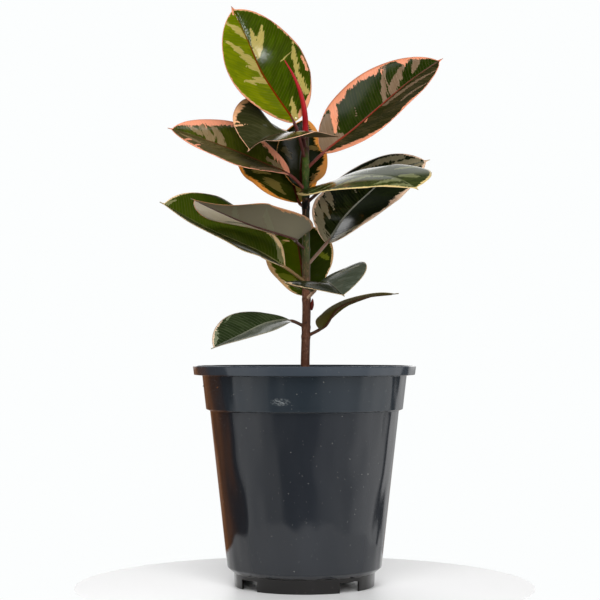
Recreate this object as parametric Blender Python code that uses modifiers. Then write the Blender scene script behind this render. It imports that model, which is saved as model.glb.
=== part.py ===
"""Potted rubber plant.

A young variegated rubber plant with fourteen broad leaves on one stem, in a round
plastic grower pot. The origin is on the pot's axis, at the height of the surface
that the pot stands on. +Z is up, and the plant is seen from the -Y side.
Run it with: blender --background --python part.py
"""

import math
from dataclasses import dataclass

import bmesh
import bpy
from mathutils import Matrix, Vector

MM = 0.001

# Gap that keeps one piece clear of the next.
GAP = 0.3

# The pot, in millimetres.
POT_HEIGHT = 211.0
RIM_RADIUS = 108.0
RIM_BAND = 8.8
RIM_DRAFT = 1.3
COLLAR_TOP_RADIUS = 98.8
COLLAR_FOOT_RADIUS = 95.0
COLLAR_FOOT_HEIGHT = 169.2
BODY_TOP_RADIUS = 91.2
BODY_TOP_HEIGHT = 167.8
BODY_FOOT_RADIUS = 74.3
BODY_FOOT_HEIGHT = 18.0
FOOT_TOP_RADIUS = 68.0
FOOT_TOP_HEIGHT = 12.8
FOOT_RADIUS = 67.3
WALL = 1.6
FLOOR_UNDERSIDE = 10.4
FLOOR_THICKNESS = 2.0
TURN_STEPS = 48

# Four gaps in the foot ring let water out. Angles run from the front, towards +X.
FOOT_GAP_ANGLES = (-51.0, 39.0, 129.0, 219.0)
FOOT_GAP_WIDTH = 23.0
FOOT_GAP_HEIGHT = 9.6
DRAIN_HOLES = 8
DRAIN_RING_RADIUS = 50.0
DRAIN_HOLE_RADIUS = 5.5
DRAIN_HOLE_SIDES = 12

# The potting mix.
SOIL_EDGE_HEIGHT = 192.5
SOIL_CROWN = 2.5
SOIL_SHOULDER = 0.75

# The stem. Its axis is a list of x, y, z points, and its radius falls from foot to tip.
STEM_AXIS = ((0.7, 0, 110), (0.7, 0, 216), (2.0, 0, 262), (1.6, 0, 310), (1.3, 0, 370), (1.0, 0, 437))
STEM_FOOT_RADIUS = 4.9
STEM_TOP_RADIUS = 3.3
RING_SWELL = 0.35
RING_REACH = 2.2
STEM_SIDES = 12
SIDE_BUD_PLACE = (7.4, -1.0, 270.0)
SIDE_BUD_SIZE = (2.0, 2.2, 6.0)
SIDE_BUD_LEAN = 6.0

# The sheath of the next leaf, on the tip of the stem.
SHEATH_ROUTE = ((1, 0, 438.6), (1, -3, 444), (0, -12, 456), (-5, -22, 476), (-11, -28, 489), (-19, -34, 502))
SHEATH_RADII = (3.0, 2.9, 2.7, 1.9, 1.2, 0.5)

# What all leaves share.
BLADE_THICKNESS = 1.0
BLADE_ROWS = 16
HALF_BLADE_CELLS = 3
RIB_SIDES = 6
PETIOLE_RADIUS = 1.7
RIB_BASE_RADIUS = 1.5
RIB_TIP_RADIUS = 0.6
RIB_TAPER = 0.7
RIB_END = 0.93
RIB_STEPS = 12
PETIOLE_STEPS = 4

# Shares of the blade's length: where the midrib has sunk below the upper face, where
# the blade's round body would end, and where the drip tip takes over from it.
RIB_SUNK_FROM = 0.1
BODY_END = 0.965
DRIP_TIP_START = 0.86

# The outline is a sine raised to a power below 1, and the drip tip tapers by another.
BLUNTNESS = 0.64
DRIP_TIP_TAPER = 0.7
DRIP_TIP_HALF_WIDTH = 2.8

# Rows crowd towards both ends of the blade by this share, and the waves of the right
# margin run ahead of the left by this angle in radians.
ROW_CROWDING = 0.25
WAVE_LAG = 1.3


@dataclass
class Leaf:
    """One leaf: petiole, midrib and blade, in millimetres and degrees.

    node is the height of the ring that the petiole grows from. rib runs from the
    foot of the blade to its tip. face_foot and face_tip point out of the blade's
    upper face. Pairs are for the left and right half, seen from above with the tip
    ahead. rise lifts a half from the midrib at the foot, the middle and the tip.
    widest gives the place of a half's greatest width as a share of the length, wave is
    the height of the margin's waves and wave_count their number.
    """

    name: str
    node: float
    rib: tuple
    half_widths: tuple
    face_foot: tuple
    face_tip: tuple
    rise: tuple
    widest: tuple = (0.5, 0.5)
    wave: float = 1.2
    wave_count: float = 2.0


LEAVES = (
    Leaf(
        name="leaf_01_low_right",
        node=239,
        rib=((15, -6, 246), (32, -32, 266.5), (52, -52, 274.5), (86.5, -80, 278)),
        half_widths=(24.5, 30.0),
        face_foot=(-0.36, -0.36, 0.86),
        face_tip=(0.01, -0.09, 0.99),
        rise=((-12, -13, 1), (13, -3, 20)),
        widest=(0.66, 0.50),
        wave=0.6,
    ),
    Leaf(
        name="leaf_02_low_left",
        node=248,
        rib=((-12, -8, 254), (-34.5, -23, 252), (-61, -37, 240), (-88, -47, 227)),
        half_widths=(34.0, 27.0),
        face_foot=(0.06, -0.60, 0.80),
        face_tip=(-0.23, -0.59, 0.77),
        rise=((24, 21, 36), (23, 13, 18)),
        widest=(0.56, 0.64),
        wave=0.6,
    ),
    Leaf(
        name="leaf_03_low_front",
        node=275,
        rib=((8, -10.5, 281), (13, -39.5, 289), (23, -74, 287.5), (36, -104, 274.5)),
        half_widths=(39.0, 41.5),
        face_foot=(-0.14, -0.07, 0.99),
        face_tip=(0.07, -0.33, 0.94),
        rise=((39, 17, 34), (4, -1, 12)),
        widest=(0.66, 0.63),
    ),
    Leaf(
        name="leaf_04_low_back",
        node=280,
        rib=((1, 10.5, 279), (-1.5, 29, 298), (-5.5, 55, 326), (-13, 84, 358.5)),
        half_widths=(34.5, 34.5),
        face_foot=(-0.04, -0.85, 0.52),
        face_tip=(-0.09, -0.71, 0.70),
        rise=((11, 6, 8), (12, 12, 12)),
    ),
    Leaf(
        name="leaf_05_left",
        node=291,
        rib=((-18, -16, 305), (-42.5, -18.5, 320), (-61.5, -23, 328.5), (-90, -32.5, 340.5), (-136.5, -46.5, 365.5)),
        half_widths=(35.5, 50.0),
        face_foot=(0.03, -0.34, 0.94),
        face_tip=(0.26, -0.26, 0.93),
        rise=((5, 3, 7), (29, 21, 49)),
        widest=(0.55, 0.51),
    ),
    Leaf(
        name="leaf_06_right",
        node=307,
        rib=((21.5, 9, 330), (40.5, 20.5, 357.5), (64, 38, 381.5), (91.5, 51, 405), (126.5, 58, 417.5)),
        half_widths=(48.0, 45.5),
        face_foot=(-0.45, -0.77, 0.45),
        face_tip=(-0.47, -0.72, 0.50),
        rise=((28, -13, -2), (17, 10, 6)),
        widest=(0.47, 0.46),
    ),
    Leaf(
        name="leaf_07_front_left",
        node=323,
        rib=((-8, -12.5, 330), (-8, -38, 331), (-51.5, -55, 344), (-104.5, -88, 365)),
        half_widths=(38.5, 38.5),
        face_foot=(0.00, 0.37, 0.95),
        face_tip=(-0.02, -0.03, 1.00),
        rise=((44, 22, -8), (34, 12, -9)),
        widest=(0.54, 0.53),
    ),
    Leaf(
        name="leaf_08_back_left",
        node=364,
        rib=((-5, 14.5, 370), (-13, 27, 394), (-35, 46, 424.5), (-61.5, 66, 456.5)),
        half_widths=(50.0, 38.0),
        face_foot=(0.13, -0.80, 0.58),
        face_tip=(0.23, -0.71, 0.67),
        rise=((18, 10, 11), (12, 12, 12)),
        widest=(0.39, 0.50),
    ),
    Leaf(
        name="leaf_09_front_right",
        node=368,
        rib=((17.5, -7.5, 381.5), (28.5, -34.5, 387), (53.5, -61, 389), (85.5, -80, 384), (103.5, -99, 372)),
        half_widths=(57.0, 53.0),
        face_foot=(-0.20, -0.35, 0.92),
        face_tip=(-0.13, -0.26, 0.96),
        rise=((10, -16, 6), (2, -6, 8)),
        widest=(0.57, 0.46),
    ),
    Leaf(
        name="leaf_10_back",
        node=376,
        rib=((-2, 6, 383), (-3.5, 23.5, 402), (-1, 46.5, 432), (2.5, 65.5, 461.5)),
        half_widths=(26.0, 26.5),
        face_foot=(0.02, -0.86, 0.51),
        face_tip=(0.04, -0.85, 0.53),
        rise=((12, 12, 12), (11, 9, 11)),
        widest=(0.50, 0.35),
    ),
    Leaf(
        name="leaf_11_upper_left",
        node=381,
        rib=((-14, -8.5, 395), (-39.5, -12.5, 406), (-66, -15.5, 417), (-95, -18.5, 427.5), (-131, -24, 438.5)),
        half_widths=(35.5, 34.0),
        face_foot=(0.27, -0.69, 0.67),
        face_tip=(0.19, -0.69, 0.70),
        rise=((22, 17, 22), (15, 11, 10)),
        widest=(0.56, 0.51),
    ),
    Leaf(
        name="leaf_12_upper_right",
        node=401,
        rib=((18.5, 3.5, 418), (45, 12.5, 439.5), (73, 21.5, 464.5), (106, 31, 493.5), (138, 35.5, 516)),
        half_widths=(45.0, 40.0),
        face_foot=(-0.42, -0.85, 0.32),
        face_tip=(-0.46, -0.85, 0.26),
        rise=((9, 4, 7), (22, 34, 22)),
        widest=(0.45, 0.44),
    ),
    Leaf(
        name="leaf_13_top_left",
        node=409,
        rib=((-10, -13.5, 445), (-26.5, -20, 469), (-41.5, -25, 492), (-54, -32, 520), (-69.5, -42.5, 552)),
        half_widths=(50.0, 57.0),
        face_foot=(0.50, -0.85, 0.20),
        face_tip=(0.34, -0.88, 0.33),
        rise=((21, 31, 10), (2, -8, -2)),
        widest=(0.52, 0.40),
    ),
    Leaf(
        name="leaf_14_top_front",
        node=421,
        rib=((-1, -11, 431.5), (-0.5, -26, 430), (-20.5, -47.5, 430), (-44, -53, 420.5), (-53.5, -54.5, 412)),
        half_widths=(60.0, 55.5),
        face_foot=(-0.08, -0.21, 0.97),
        face_tip=(-0.74, -0.45, 0.49),
        rise=((-16, -5, 25), (-13, 21, 60)),
        widest=(0.56, 0.66),
    ),
)

# Colours, for the drawing alone.
PLASTIC_COLOUR = (0.035, 0.040, 0.045)
SOIL_COLOUR = (0.045, 0.028, 0.018)
STEM_COLOUR = (0.090, 0.060, 0.030)
SHEATH_COLOUR = (0.420, 0.020, 0.035)
LEAF_COLOURS = ((0.045, 0.085, 0.020), (0.090, 0.110, 0.035), (0.060, 0.070, 0.045))


def clear_scene():
    for thing in list(bpy.data.objects):
        bpy.data.objects.remove(thing, do_unlink=True)


def make_collection(name):
    group = bpy.data.collections.new(name)
    bpy.context.scene.collection.children.link(group)
    return group


def make_material(name, colour, roughness):
    material = bpy.data.materials.new(name)
    material.use_nodes = True
    shader = material.node_tree.nodes["Principled BSDF"]
    shader.inputs["Base Color"].default_value = (*colour, 1.0)
    shader.inputs["Roughness"].default_value = roughness
    shader.inputs["Metallic"].default_value = 0.0
    return material


def add_object(name, data, group, material=None):
    thing = bpy.data.objects.new(name, data)
    group.objects.link(thing)
    if material:
        data.materials.append(material)
    return thing


def as_cutter(thing):
    thing.hide_render = True
    thing.display_type = "WIRE"
    return thing


def mesh_from_bmesh(shape, name):
    mesh = bpy.data.meshes.new(name)
    shape.to_mesh(mesh)
    shape.free()
    return mesh


def rounded(corners, arc_steps=2):
    """Corners as (radius, height, fillet), with each fillet drawn as a short arc."""
    line = []
    for index, (radius, height, fillet) in enumerate(corners):
        here = Vector((radius, height))
        if fillet == 0:
            line.append(here)
            continue
        before = Vector(corners[index - 1][:2])
        after = Vector(corners[index + 1][:2])
        towards_before = (before - here).normalized()
        towards_after = (after - here).normalized()
        half_angle = towards_before.angle(towards_after) / 2
        bisector = (towards_before + towards_after).normalized()
        centre = here + bisector * fillet / math.sin(half_angle)
        touch = fillet / math.tan(half_angle)
        start = here + towards_before * touch - centre
        end = here + towards_after * touch - centre
        turn = start.angle_signed(end)
        for step in range(arc_steps + 1):
            line.append(centre + Matrix.Rotation(-turn * step / arc_steps, 2) @ start)
    return line


def turned(name, line, group, material, steps=TURN_STEPS):
    """A solid of revolution from a line of (radius, height) points in millimetres."""
    shape = bmesh.new()
    points = [shape.verts.new((p.x * MM, 0, p.y * MM)) for p in line]
    for first, second in zip(points, points[1:]):
        shape.edges.new((first, second))
    thing = add_object(name, mesh_from_bmesh(shape, name), group, material)
    screw = thing.modifiers.new("turn", "SCREW")
    screw.axis = "Z"
    screw.angle = math.tau
    screw.steps = steps
    screw.render_steps = steps
    screw.use_merge_vertices = True
    screw.merge_threshold = 0.00001
    screw.use_normal_calculate = False
    screw.use_smooth_shade = True
    return thing


def pot_inner_corners():
    """The inside of the pot from the middle of its floor to the rim."""
    floor = FLOOR_UNDERSIDE + FLOOR_THICKNESS
    rim_ledge = POT_HEIGHT - RIM_BAND + WALL
    return [
        (0.0, floor, 0),
        (FOOT_RADIUS - WALL - GAP, floor, 0),
        (BODY_FOOT_RADIUS - WALL, BODY_FOOT_HEIGHT + WALL / 2, 0),
        (BODY_TOP_RADIUS - WALL, BODY_TOP_HEIGHT + WALL / 2, 0),
        (COLLAR_FOOT_RADIUS - WALL, COLLAR_FOOT_HEIGHT + WALL, 0),
        (COLLAR_TOP_RADIUS - WALL, rim_ledge - WALL / 2, 0),
        (RIM_RADIUS - RIM_DRAFT - WALL, rim_ledge, 0),
    ]


def pot_outer_corners():
    """The outside of the pot from the rim to the middle of its underside."""
    rim_foot = POT_HEIGHT - RIM_BAND
    return [
        (RIM_RADIUS - WALL, POT_HEIGHT, 0.5),
        (RIM_RADIUS, POT_HEIGHT, 0.9),
        (RIM_RADIUS - RIM_DRAFT, rim_foot, 0.7),
        (COLLAR_TOP_RADIUS, rim_foot - WALL / 2, 0),
        (COLLAR_FOOT_RADIUS, COLLAR_FOOT_HEIGHT, 1.2),
        (BODY_TOP_RADIUS, BODY_TOP_HEIGHT, 0),
        (BODY_FOOT_RADIUS, BODY_FOOT_HEIGHT, 3.0),
        (FOOT_TOP_RADIUS, FOOT_TOP_HEIGHT, 0),
        (FOOT_RADIUS, 0.0, 0),
        (FOOT_RADIUS - WALL, 0.0, 0),
        (FOOT_RADIUS - WALL, FLOOR_UNDERSIDE, 0),
        (0.0, FLOOR_UNDERSIDE, 0),
    ]


def cut_with(thing, cutters):
    cut = thing.modifiers.new("cut", "BOOLEAN")
    cut.operation = "DIFFERENCE"
    cut.operand_type = "COLLECTION"
    cut.collection = cutters
    cut.solver = "EXACT"


def foot_gap_cutter(number, angle, group):
    """A block that takes one gap out of the foot ring."""
    shape = bmesh.new()
    bmesh.ops.create_cube(shape, size=1.0)
    depth = 4 * WALL
    height = 2 * FOOT_GAP_HEIGHT
    bmesh.ops.scale(shape, verts=shape.verts, vec=Vector((FOOT_GAP_WIDTH, depth, height)) * MM)
    block = add_object(f"foot_gap_{number}", mesh_from_bmesh(shape, "foot_gap"), group)
    turn = math.radians(angle)
    reach = (FOOT_RADIUS - WALL / 2) * MM
    block.location = (reach * math.sin(turn), -reach * math.cos(turn), 0)
    block.rotation_euler = (0, 0, turn)
    return as_cutter(block)


def drain_hole_cutter(number, group):
    """A short rod that drills one drainage hole through the floor."""
    shape = bmesh.new()
    bmesh.ops.create_cone(
        shape,
        cap_ends=True,
        segments=DRAIN_HOLE_SIDES,
        radius1=DRAIN_HOLE_RADIUS * MM,
        radius2=DRAIN_HOLE_RADIUS * MM,
        depth=4 * FLOOR_THICKNESS * MM,
    )
    rod = add_object(f"drain_hole_{number}", mesh_from_bmesh(shape, "drain_hole"), group)
    turn = math.tau * (number + 0.5) / DRAIN_HOLES
    middle = FLOOR_UNDERSIDE + FLOOR_THICKNESS / 2
    reach = DRAIN_RING_RADIUS
    rod.location = Vector((reach * math.sin(turn), -reach * math.cos(turn), middle)) * MM
    return as_cutter(rod)


def make_pot(group, cutters):
    plastic = make_material("pot_plastic", PLASTIC_COLOUR, 0.45)
    pot = turned("pot", rounded(pot_inner_corners() + pot_outer_corners()), group, plastic)
    for number, angle in enumerate(FOOT_GAP_ANGLES):
        foot_gap_cutter(number, angle, cutters)
    for number in range(DRAIN_HOLES):
        drain_hole_cutter(number, cutters)
    cut_with(pot, cutters)
    return pot


def make_soil(group, cutters):
    """The potting mix fills the pot to below its rim, with a plain hole for the stem."""
    mix = make_material("potting_mix", SOIL_COLOUR, 0.95)
    inner = pot_inner_corners()
    floor_corners = [(max(r - GAP, 0.0), z + GAP) for r, z, fillet in inner[:5]]
    top_radius, top_height = COLLAR_TOP_RADIUS - WALL, POT_HEIGHT - RIM_BAND + WALL / 2
    foot_radius, foot_height = COLLAR_FOOT_RADIUS - WALL, COLLAR_FOOT_HEIGHT + WALL
    share = (SOIL_EDGE_HEIGHT - foot_height) / (top_height - foot_height)
    edge_radius = foot_radius + share * (top_radius - foot_radius) - GAP
    line = [Vector((0.0, SOIL_EDGE_HEIGHT + SOIL_CROWN))]
    line.append(Vector((edge_radius / 2, SOIL_EDGE_HEIGHT + SOIL_SHOULDER * SOIL_CROWN)))
    line.append(Vector((edge_radius, SOIL_EDGE_HEIGHT)))
    line += [Vector(corner) for corner in reversed(floor_corners)]
    soil = turned("soil", line, group, mix)
    hole_top = SOIL_EDGE_HEIGHT + 4 * SOIL_CROWN
    hole_foot = STEM_AXIS[0][2] - GAP
    shape = bmesh.new()
    bmesh.ops.create_cone(
        shape,
        cap_ends=True,
        segments=STEM_SIDES,
        radius1=(STEM_FOOT_RADIUS + 2 * GAP) * MM,
        radius2=(STEM_FOOT_RADIUS + 2 * GAP) * MM,
        depth=(hole_top - hole_foot) * MM,
    )
    hole = add_object("stem_hole", mesh_from_bmesh(shape, "stem_hole"), cutters)
    hole.location = Vector((STEM_AXIS[0][0], STEM_AXIS[0][1], (hole_top + hole_foot) / 2)) * MM
    as_cutter(hole)
    cut_with(soil, cutters)
    return soil


def spline(points):
    """A smooth curve through points, as a function of the length along its chords."""
    points = [Vector(p) for p in points]
    knots = [0.0]
    for first, second in zip(points, points[1:]):
        knots.append(knots[-1] + (second - first).length)
    slopes = []
    for index in range(len(points)):
        low = max(index - 1, 0)
        high = min(index + 1, len(points) - 1)
        if low == index or high == index:
            slopes.append((points[high] - points[low]) / (knots[high] - knots[low]))
            continue
        before = (points[index] - points[low]) / (knots[index] - knots[low])
        after = (points[high] - points[index]) / (knots[high] - knots[index])
        share = (knots[index] - knots[low]) / (knots[high] - knots[low])
        slopes.append(before.lerp(after, share))

    def place(length):
        index = 0
        while index < len(knots) - 2 and length > knots[index + 1]:
            index += 1
        span = knots[index + 1] - knots[index]
        t = (length - knots[index]) / span
        h00 = 2 * t**3 - 3 * t**2 + 1
        h10 = t**3 - 2 * t**2 + t
        h01 = 3 * t**2 - 2 * t**3
        h11 = t**3 - t**2
        near, far = points[index], points[index + 1]
        return h00 * near + h10 * span * slopes[index] + h01 * far + h11 * span * slopes[index + 1]

    return place, knots


def tube(name, places, radii, bevel_resolution, group):
    """A closed tube of changing radius through places, as a welded mesh object."""
    curve = bpy.data.curves.new(name, "CURVE")
    curve.dimensions = "3D"
    curve.bevel_depth = MM
    curve.bevel_resolution = bevel_resolution
    curve.use_fill_caps = True
    run = curve.splines.new("POLY")
    run.points.add(len(places) - 1)
    for point, place, radius in zip(run.points, places, radii):
        point.co = (*(place * MM), 1.0)
        point.radius = radius
    guide = bpy.data.objects.new(name + "_curve", curve)
    group.objects.link(guide)
    bpy.context.view_layer.update()
    seen = guide.evaluated_get(bpy.context.evaluated_depsgraph_get())
    mesh = bpy.data.meshes.new_from_object(seen)
    shape = bmesh.new()
    shape.from_mesh(mesh)
    bmesh.ops.remove_doubles(shape, verts=shape.verts, dist=0.00001)
    shape.to_mesh(mesh)
    shape.free()
    made = bpy.data.objects.new(name, mesh)
    made.matrix_world = guide.matrix_world
    group.objects.link(made)
    bpy.data.objects.remove(guide, do_unlink=True)
    return made


def stem_place(height):
    """The middle of the stem at a height."""
    for low, high in zip(STEM_AXIS, STEM_AXIS[1:]):
        if height <= high[2]:
            break
    share = (height - low[2]) / (high[2] - low[2])
    return Vector(low).lerp(Vector(high), share)


def stem_radius(height):
    """The stem's radius at a height, with a ring at the foot of each leaf."""
    foot, top = STEM_AXIS[0][2], STEM_AXIS[-1][2]
    share = (height - foot) / (top - foot)
    radius = STEM_FOOT_RADIUS + share * (STEM_TOP_RADIUS - STEM_FOOT_RADIUS)
    nearest = min(abs(height - leaf.node) for leaf in LEAVES)
    return radius + RING_SWELL * max(0.0, 1 - nearest / RING_REACH)


def stem_heights():
    """Heights of the stem's cross-sections: its bends, and three for each ring."""
    heights = [point[2] for point in STEM_AXIS]
    for leaf in LEAVES:
        heights += [leaf.node - RING_REACH, leaf.node, leaf.node + RING_REACH]
    heights.sort()
    kept = [heights[0]]
    for height in heights[1:]:
        if height - kept[-1] > 1.0:
            kept.append(height)
    return kept


def make_stem(group, cutters):
    """The stem, with a small bud on its side, and the space kept clear around it."""
    heights = stem_heights()
    places = [stem_place(height) for height in heights]
    radii = [stem_radius(height) for height in heights]
    resolution = STEM_SIDES // 2 - 2
    stem = tube("stem", places, radii, resolution, group)
    stem.data.materials.append(make_material("stem_bark", STEM_COLOUR, 0.6))
    stem.data.shade_smooth()
    shape = bmesh.new()
    bmesh.ops.create_uvsphere(shape, u_segments=8, v_segments=6, radius=1.0)
    bmesh.ops.scale(shape, verts=shape.verts, vec=Vector(SIDE_BUD_SIZE) * MM)
    bud = add_object("side_bud", mesh_from_bmesh(shape, "side_bud"), cutters)
    bud.location = Vector(SIDE_BUD_PLACE) * MM
    bud.rotation_euler = (0, math.radians(SIDE_BUD_LEAN), 0)
    as_cutter(bud)
    join_to(stem, bud)
    wide = [radius + GAP for radius in radii]
    places[0] = places[0] - Vector((0, 0, GAP))
    places[-1] = places[-1] + Vector((0, 0, GAP))
    clear = tube("stem_clearance", places, wide, resolution, cutters)
    return stem, as_cutter(clear)


def join_to(thing, other):
    joined = thing.modifiers.new("join", "BOOLEAN")
    joined.operation = "UNION"
    joined.object = other
    joined.solver = "EXACT"


def make_sheath(group):
    """The curved red sheath of the next leaf."""
    place, knots = spline(SHEATH_ROUTE)
    steps = 3 * (len(SHEATH_ROUTE) - 1)
    lengths = [knots[-1] * step / steps for step in range(steps + 1)]
    radii = []
    for length in lengths:
        index = max(i for i, knot in enumerate(knots[:-1]) if knot <= length + 0.001)
        share = (length - knots[index]) / (knots[index + 1] - knots[index])
        radii.append(SHEATH_RADII[index] + share * (SHEATH_RADII[index + 1] - SHEATH_RADII[index]))
    sheath = tube("bud_sheath", [place(length) for length in lengths], radii, 2, group)
    sheath.data.materials.append(make_material("sheath_skin", SHEATH_COLOUR, 0.4))
    sheath.data.shade_smooth()
    return sheath


def blade_half_width(leaf, side, u):
    """Reach of one side at share u of the blade's length: a blunt body and a drip tip."""
    body = min(u / BODY_END, 1.0)
    skew = math.log(0.5) / math.log(leaf.widest[side] / BODY_END)
    wide = leaf.half_widths[side] * math.sin(math.pi * body**skew) ** BLUNTNESS
    if u > DRIP_TIP_START:
        left = (1 - u) / (1 - DRIP_TIP_START)
        wide = max(wide, DRIP_TIP_HALF_WIDTH * left**DRIP_TIP_TAPER)
    return wide


def blade_frame(leaf, place, start, length, u):
    """Point on the midrib, the way to its right and the way out of its upper face."""
    here = place(start + length * u)
    step = 0.01 * length
    ahead = place(min(start + length * u + step, start + length))
    behind = place(max(start + length * u - step, start))
    along = (ahead - behind).normalized()
    face = Vector(leaf.face_foot).lerp(Vector(leaf.face_tip), u)
    right = along.cross(face).normalized()
    return here, right, right.cross(along)


def blade_rise(leaf, side, u):
    """How far one half rises from the midrib at share u of the length, in radians."""
    foot, middle, tip = leaf.rise[side]
    return math.radians(foot * (1 - u) ** 2 + 2 * middle * u * (1 - u) + tip * u**2)


def blade_point(leaf, frame, u, v):
    """Point of the blade at share u of its length and v across, -1 left to 1 right."""
    here, right, face = frame
    side = 1 if v > 0 else 0
    rise = blade_rise(leaf, side, u)
    reach = abs(v) * blade_half_width(leaf, side, u)
    wave = leaf.wave * v * v * math.sin(math.tau * leaf.wave_count * u + WAVE_LAG * side)
    edge = math.sin(math.pi * u)
    out = math.copysign(reach * math.cos(rise), v)
    return here + right * out + face * (reach * math.sin(rise) + wave * edge)


def blade_mesh(leaf, place, start, length):
    """The blade as one open sheet of triangles."""
    shape = bmesh.new()
    cells = HALF_BLADE_CELLS
    rows = []
    for row in range(BLADE_ROWS + 1):
        share = row / BLADE_ROWS
        u = share - ROW_CROWDING * math.sin(math.tau * share) / math.tau
        frame = blade_frame(leaf, place, start, length, u)
        if row in (0, BLADE_ROWS):
            rows.append([shape.verts.new(frame[0] * MM)] * (2 * cells + 1))
            continue
        line = [blade_point(leaf, frame, u, i / cells) for i in range(-cells, cells + 1)]
        rows.append([shape.verts.new(point * MM) for point in line])
    for near, far in zip(rows, rows[1:]):
        for i in range(2 * cells):
            corners = (near[i], near[i + 1], far[i + 1], far[i])
            if i < cells:
                triangles = ((0, 1, 2), (0, 2, 3))
            else:
                triangles = ((0, 1, 3), (1, 2, 3))
            for triangle in triangles:
                points = [corners[k] for k in triangle]
                if len(set(points)) == 3:
                    shape.faces.new(points)
    return mesh_from_bmesh(shape, leaf.name)


def make_leaf(leaf, number, clear, group, cutters):
    """One leaf: the blade as a sheet with thickness, joined to its petiole and midrib."""
    foot = stem_place(leaf.node)
    route = [foot, *leaf.rib]
    place, knots = spline(route)
    start = knots[len(route) - len(leaf.rib)]
    length = knots[-1] - start
    colour = LEAF_COLOURS[number % len(LEAF_COLOURS)]
    material = make_material(leaf.name + "_skin", colour, 0.4)
    blade = add_object(leaf.name, blade_mesh(leaf, place, start, length), group, material)
    thick = blade.modifiers.new("thickness", "SOLIDIFY")
    thick.thickness = BLADE_THICKNESS * MM
    thick.offset = 0.0
    thick.use_even_offset = True
    places = [place(start * step / PETIOLE_STEPS) for step in range(PETIOLE_STEPS)]
    radii = [PETIOLE_RADIUS] * PETIOLE_STEPS
    for step in range(RIB_STEPS + 1):
        u = RIB_END * step / RIB_STEPS
        here, right, face = blade_frame(leaf, place, start, length, u)
        taper = (step / RIB_STEPS) ** RIB_TAPER
        radius = RIB_BASE_RADIUS + (RIB_TIP_RADIUS - RIB_BASE_RADIUS) * taper
        sink = (radius - BLADE_THICKNESS / 4) * min(1.0, u / RIB_SUNK_FROM)
        places.append(here - face * sink)
        radii.append(radius)
    rib = tube(leaf.name + "_rib", places, radii, RIB_SIDES // 2 - 2, cutters)
    join_to(blade, as_cutter(rib))
    trim = blade.modifiers.new("seat", "BOOLEAN")
    trim.operation = "DIFFERENCE"
    trim.object = clear
    trim.solver = "EXACT"
    return blade


def main():
    clear_scene()
    group = make_collection("potted_rubber_plant")
    pot_cutters = make_collection("pot_cutters")
    soil_cutters = make_collection("soil_cutters")
    leaf_cutters = make_collection("leaf_cutters")
    make_pot(group, pot_cutters)
    make_soil(group, soil_cutters)
    stem, clear = make_stem(group, leaf_cutters)
    make_sheath(group)
    for number, leaf in enumerate(LEAVES):
        make_leaf(leaf, number, clear, group, leaf_cutters)


main()
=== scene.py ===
"""Looks of a potted variegated rubber plant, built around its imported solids.

Lengths are in millimetres until they reach a mesh. The plant is seen from the -Y
side, +Z is up, and the origin is under the middle of the pot.
"""

import math
from dataclasses import dataclass

import bmesh
import bpy
import numpy as np
from mathutils import Matrix, Vector


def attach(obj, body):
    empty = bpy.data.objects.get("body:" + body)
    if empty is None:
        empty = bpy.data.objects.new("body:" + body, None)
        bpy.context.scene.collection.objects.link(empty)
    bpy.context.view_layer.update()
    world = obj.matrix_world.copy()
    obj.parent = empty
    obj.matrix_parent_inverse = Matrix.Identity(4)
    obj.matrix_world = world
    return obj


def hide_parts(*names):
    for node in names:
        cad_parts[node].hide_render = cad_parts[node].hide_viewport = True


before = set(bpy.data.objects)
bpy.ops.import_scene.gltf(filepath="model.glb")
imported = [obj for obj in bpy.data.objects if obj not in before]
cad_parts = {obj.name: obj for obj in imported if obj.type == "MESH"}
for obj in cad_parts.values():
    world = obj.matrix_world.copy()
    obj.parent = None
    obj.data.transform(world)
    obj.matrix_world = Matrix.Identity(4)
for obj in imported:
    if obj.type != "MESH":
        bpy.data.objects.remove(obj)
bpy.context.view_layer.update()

MM = 0.001
BODY = "root"

# The camera: where it stands, how far it looks up and how far away the picture's plane is.
CAMERA_PLACE = (-4.3, -1600.0, 226.0)
CAMERA_RISE = 1.734
PICTURE_SIDE = 600.0
PICTURE_DISTANCE = 1652.0
SENSOR_SIDE = 36.0

# The pot.
POT_HEIGHT = 211.0
RIM_RADIUS = 108.0
RIM_BAND = 8.8
RIM_DRAFT = 1.3
COLLAR_TOP_RADIUS = 98.8
COLLAR_FOOT_RADIUS = 95.0
COLLAR_FOOT_HEIGHT = 169.2
BODY_TOP_RADIUS = 91.2
BODY_TOP_HEIGHT = 167.8
BODY_FOOT_RADIUS = 74.3
BODY_FOOT_HEIGHT = 18.0
FOOT_TOP_RADIUS = 68.0
FOOT_TOP_HEIGHT = 12.8
FOOT_RADIUS = 67.3
WALL = 1.6
FLOOR_UNDERSIDE = 10.4
FLOOR_THICKNESS = 2.0
POT_STEPS = 160
SHARP_EDGE = 28.0
FOOT_GAP_ANGLES = (-51.0, 39.0, 129.0, 219.0)
FOOT_GAP_WIDTH = 23.0
FOOT_GAP_HEIGHT = 9.6
DRAIN_HOLES = 8
DRAIN_RING_RADIUS = 50.0
DRAIN_HOLE_RADIUS = 5.5
SCUFF_SCALE = (55.0, 0.0, 130.0)
SCUFF_SHIFT = (1.22, 0.0, -23.2)

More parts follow.
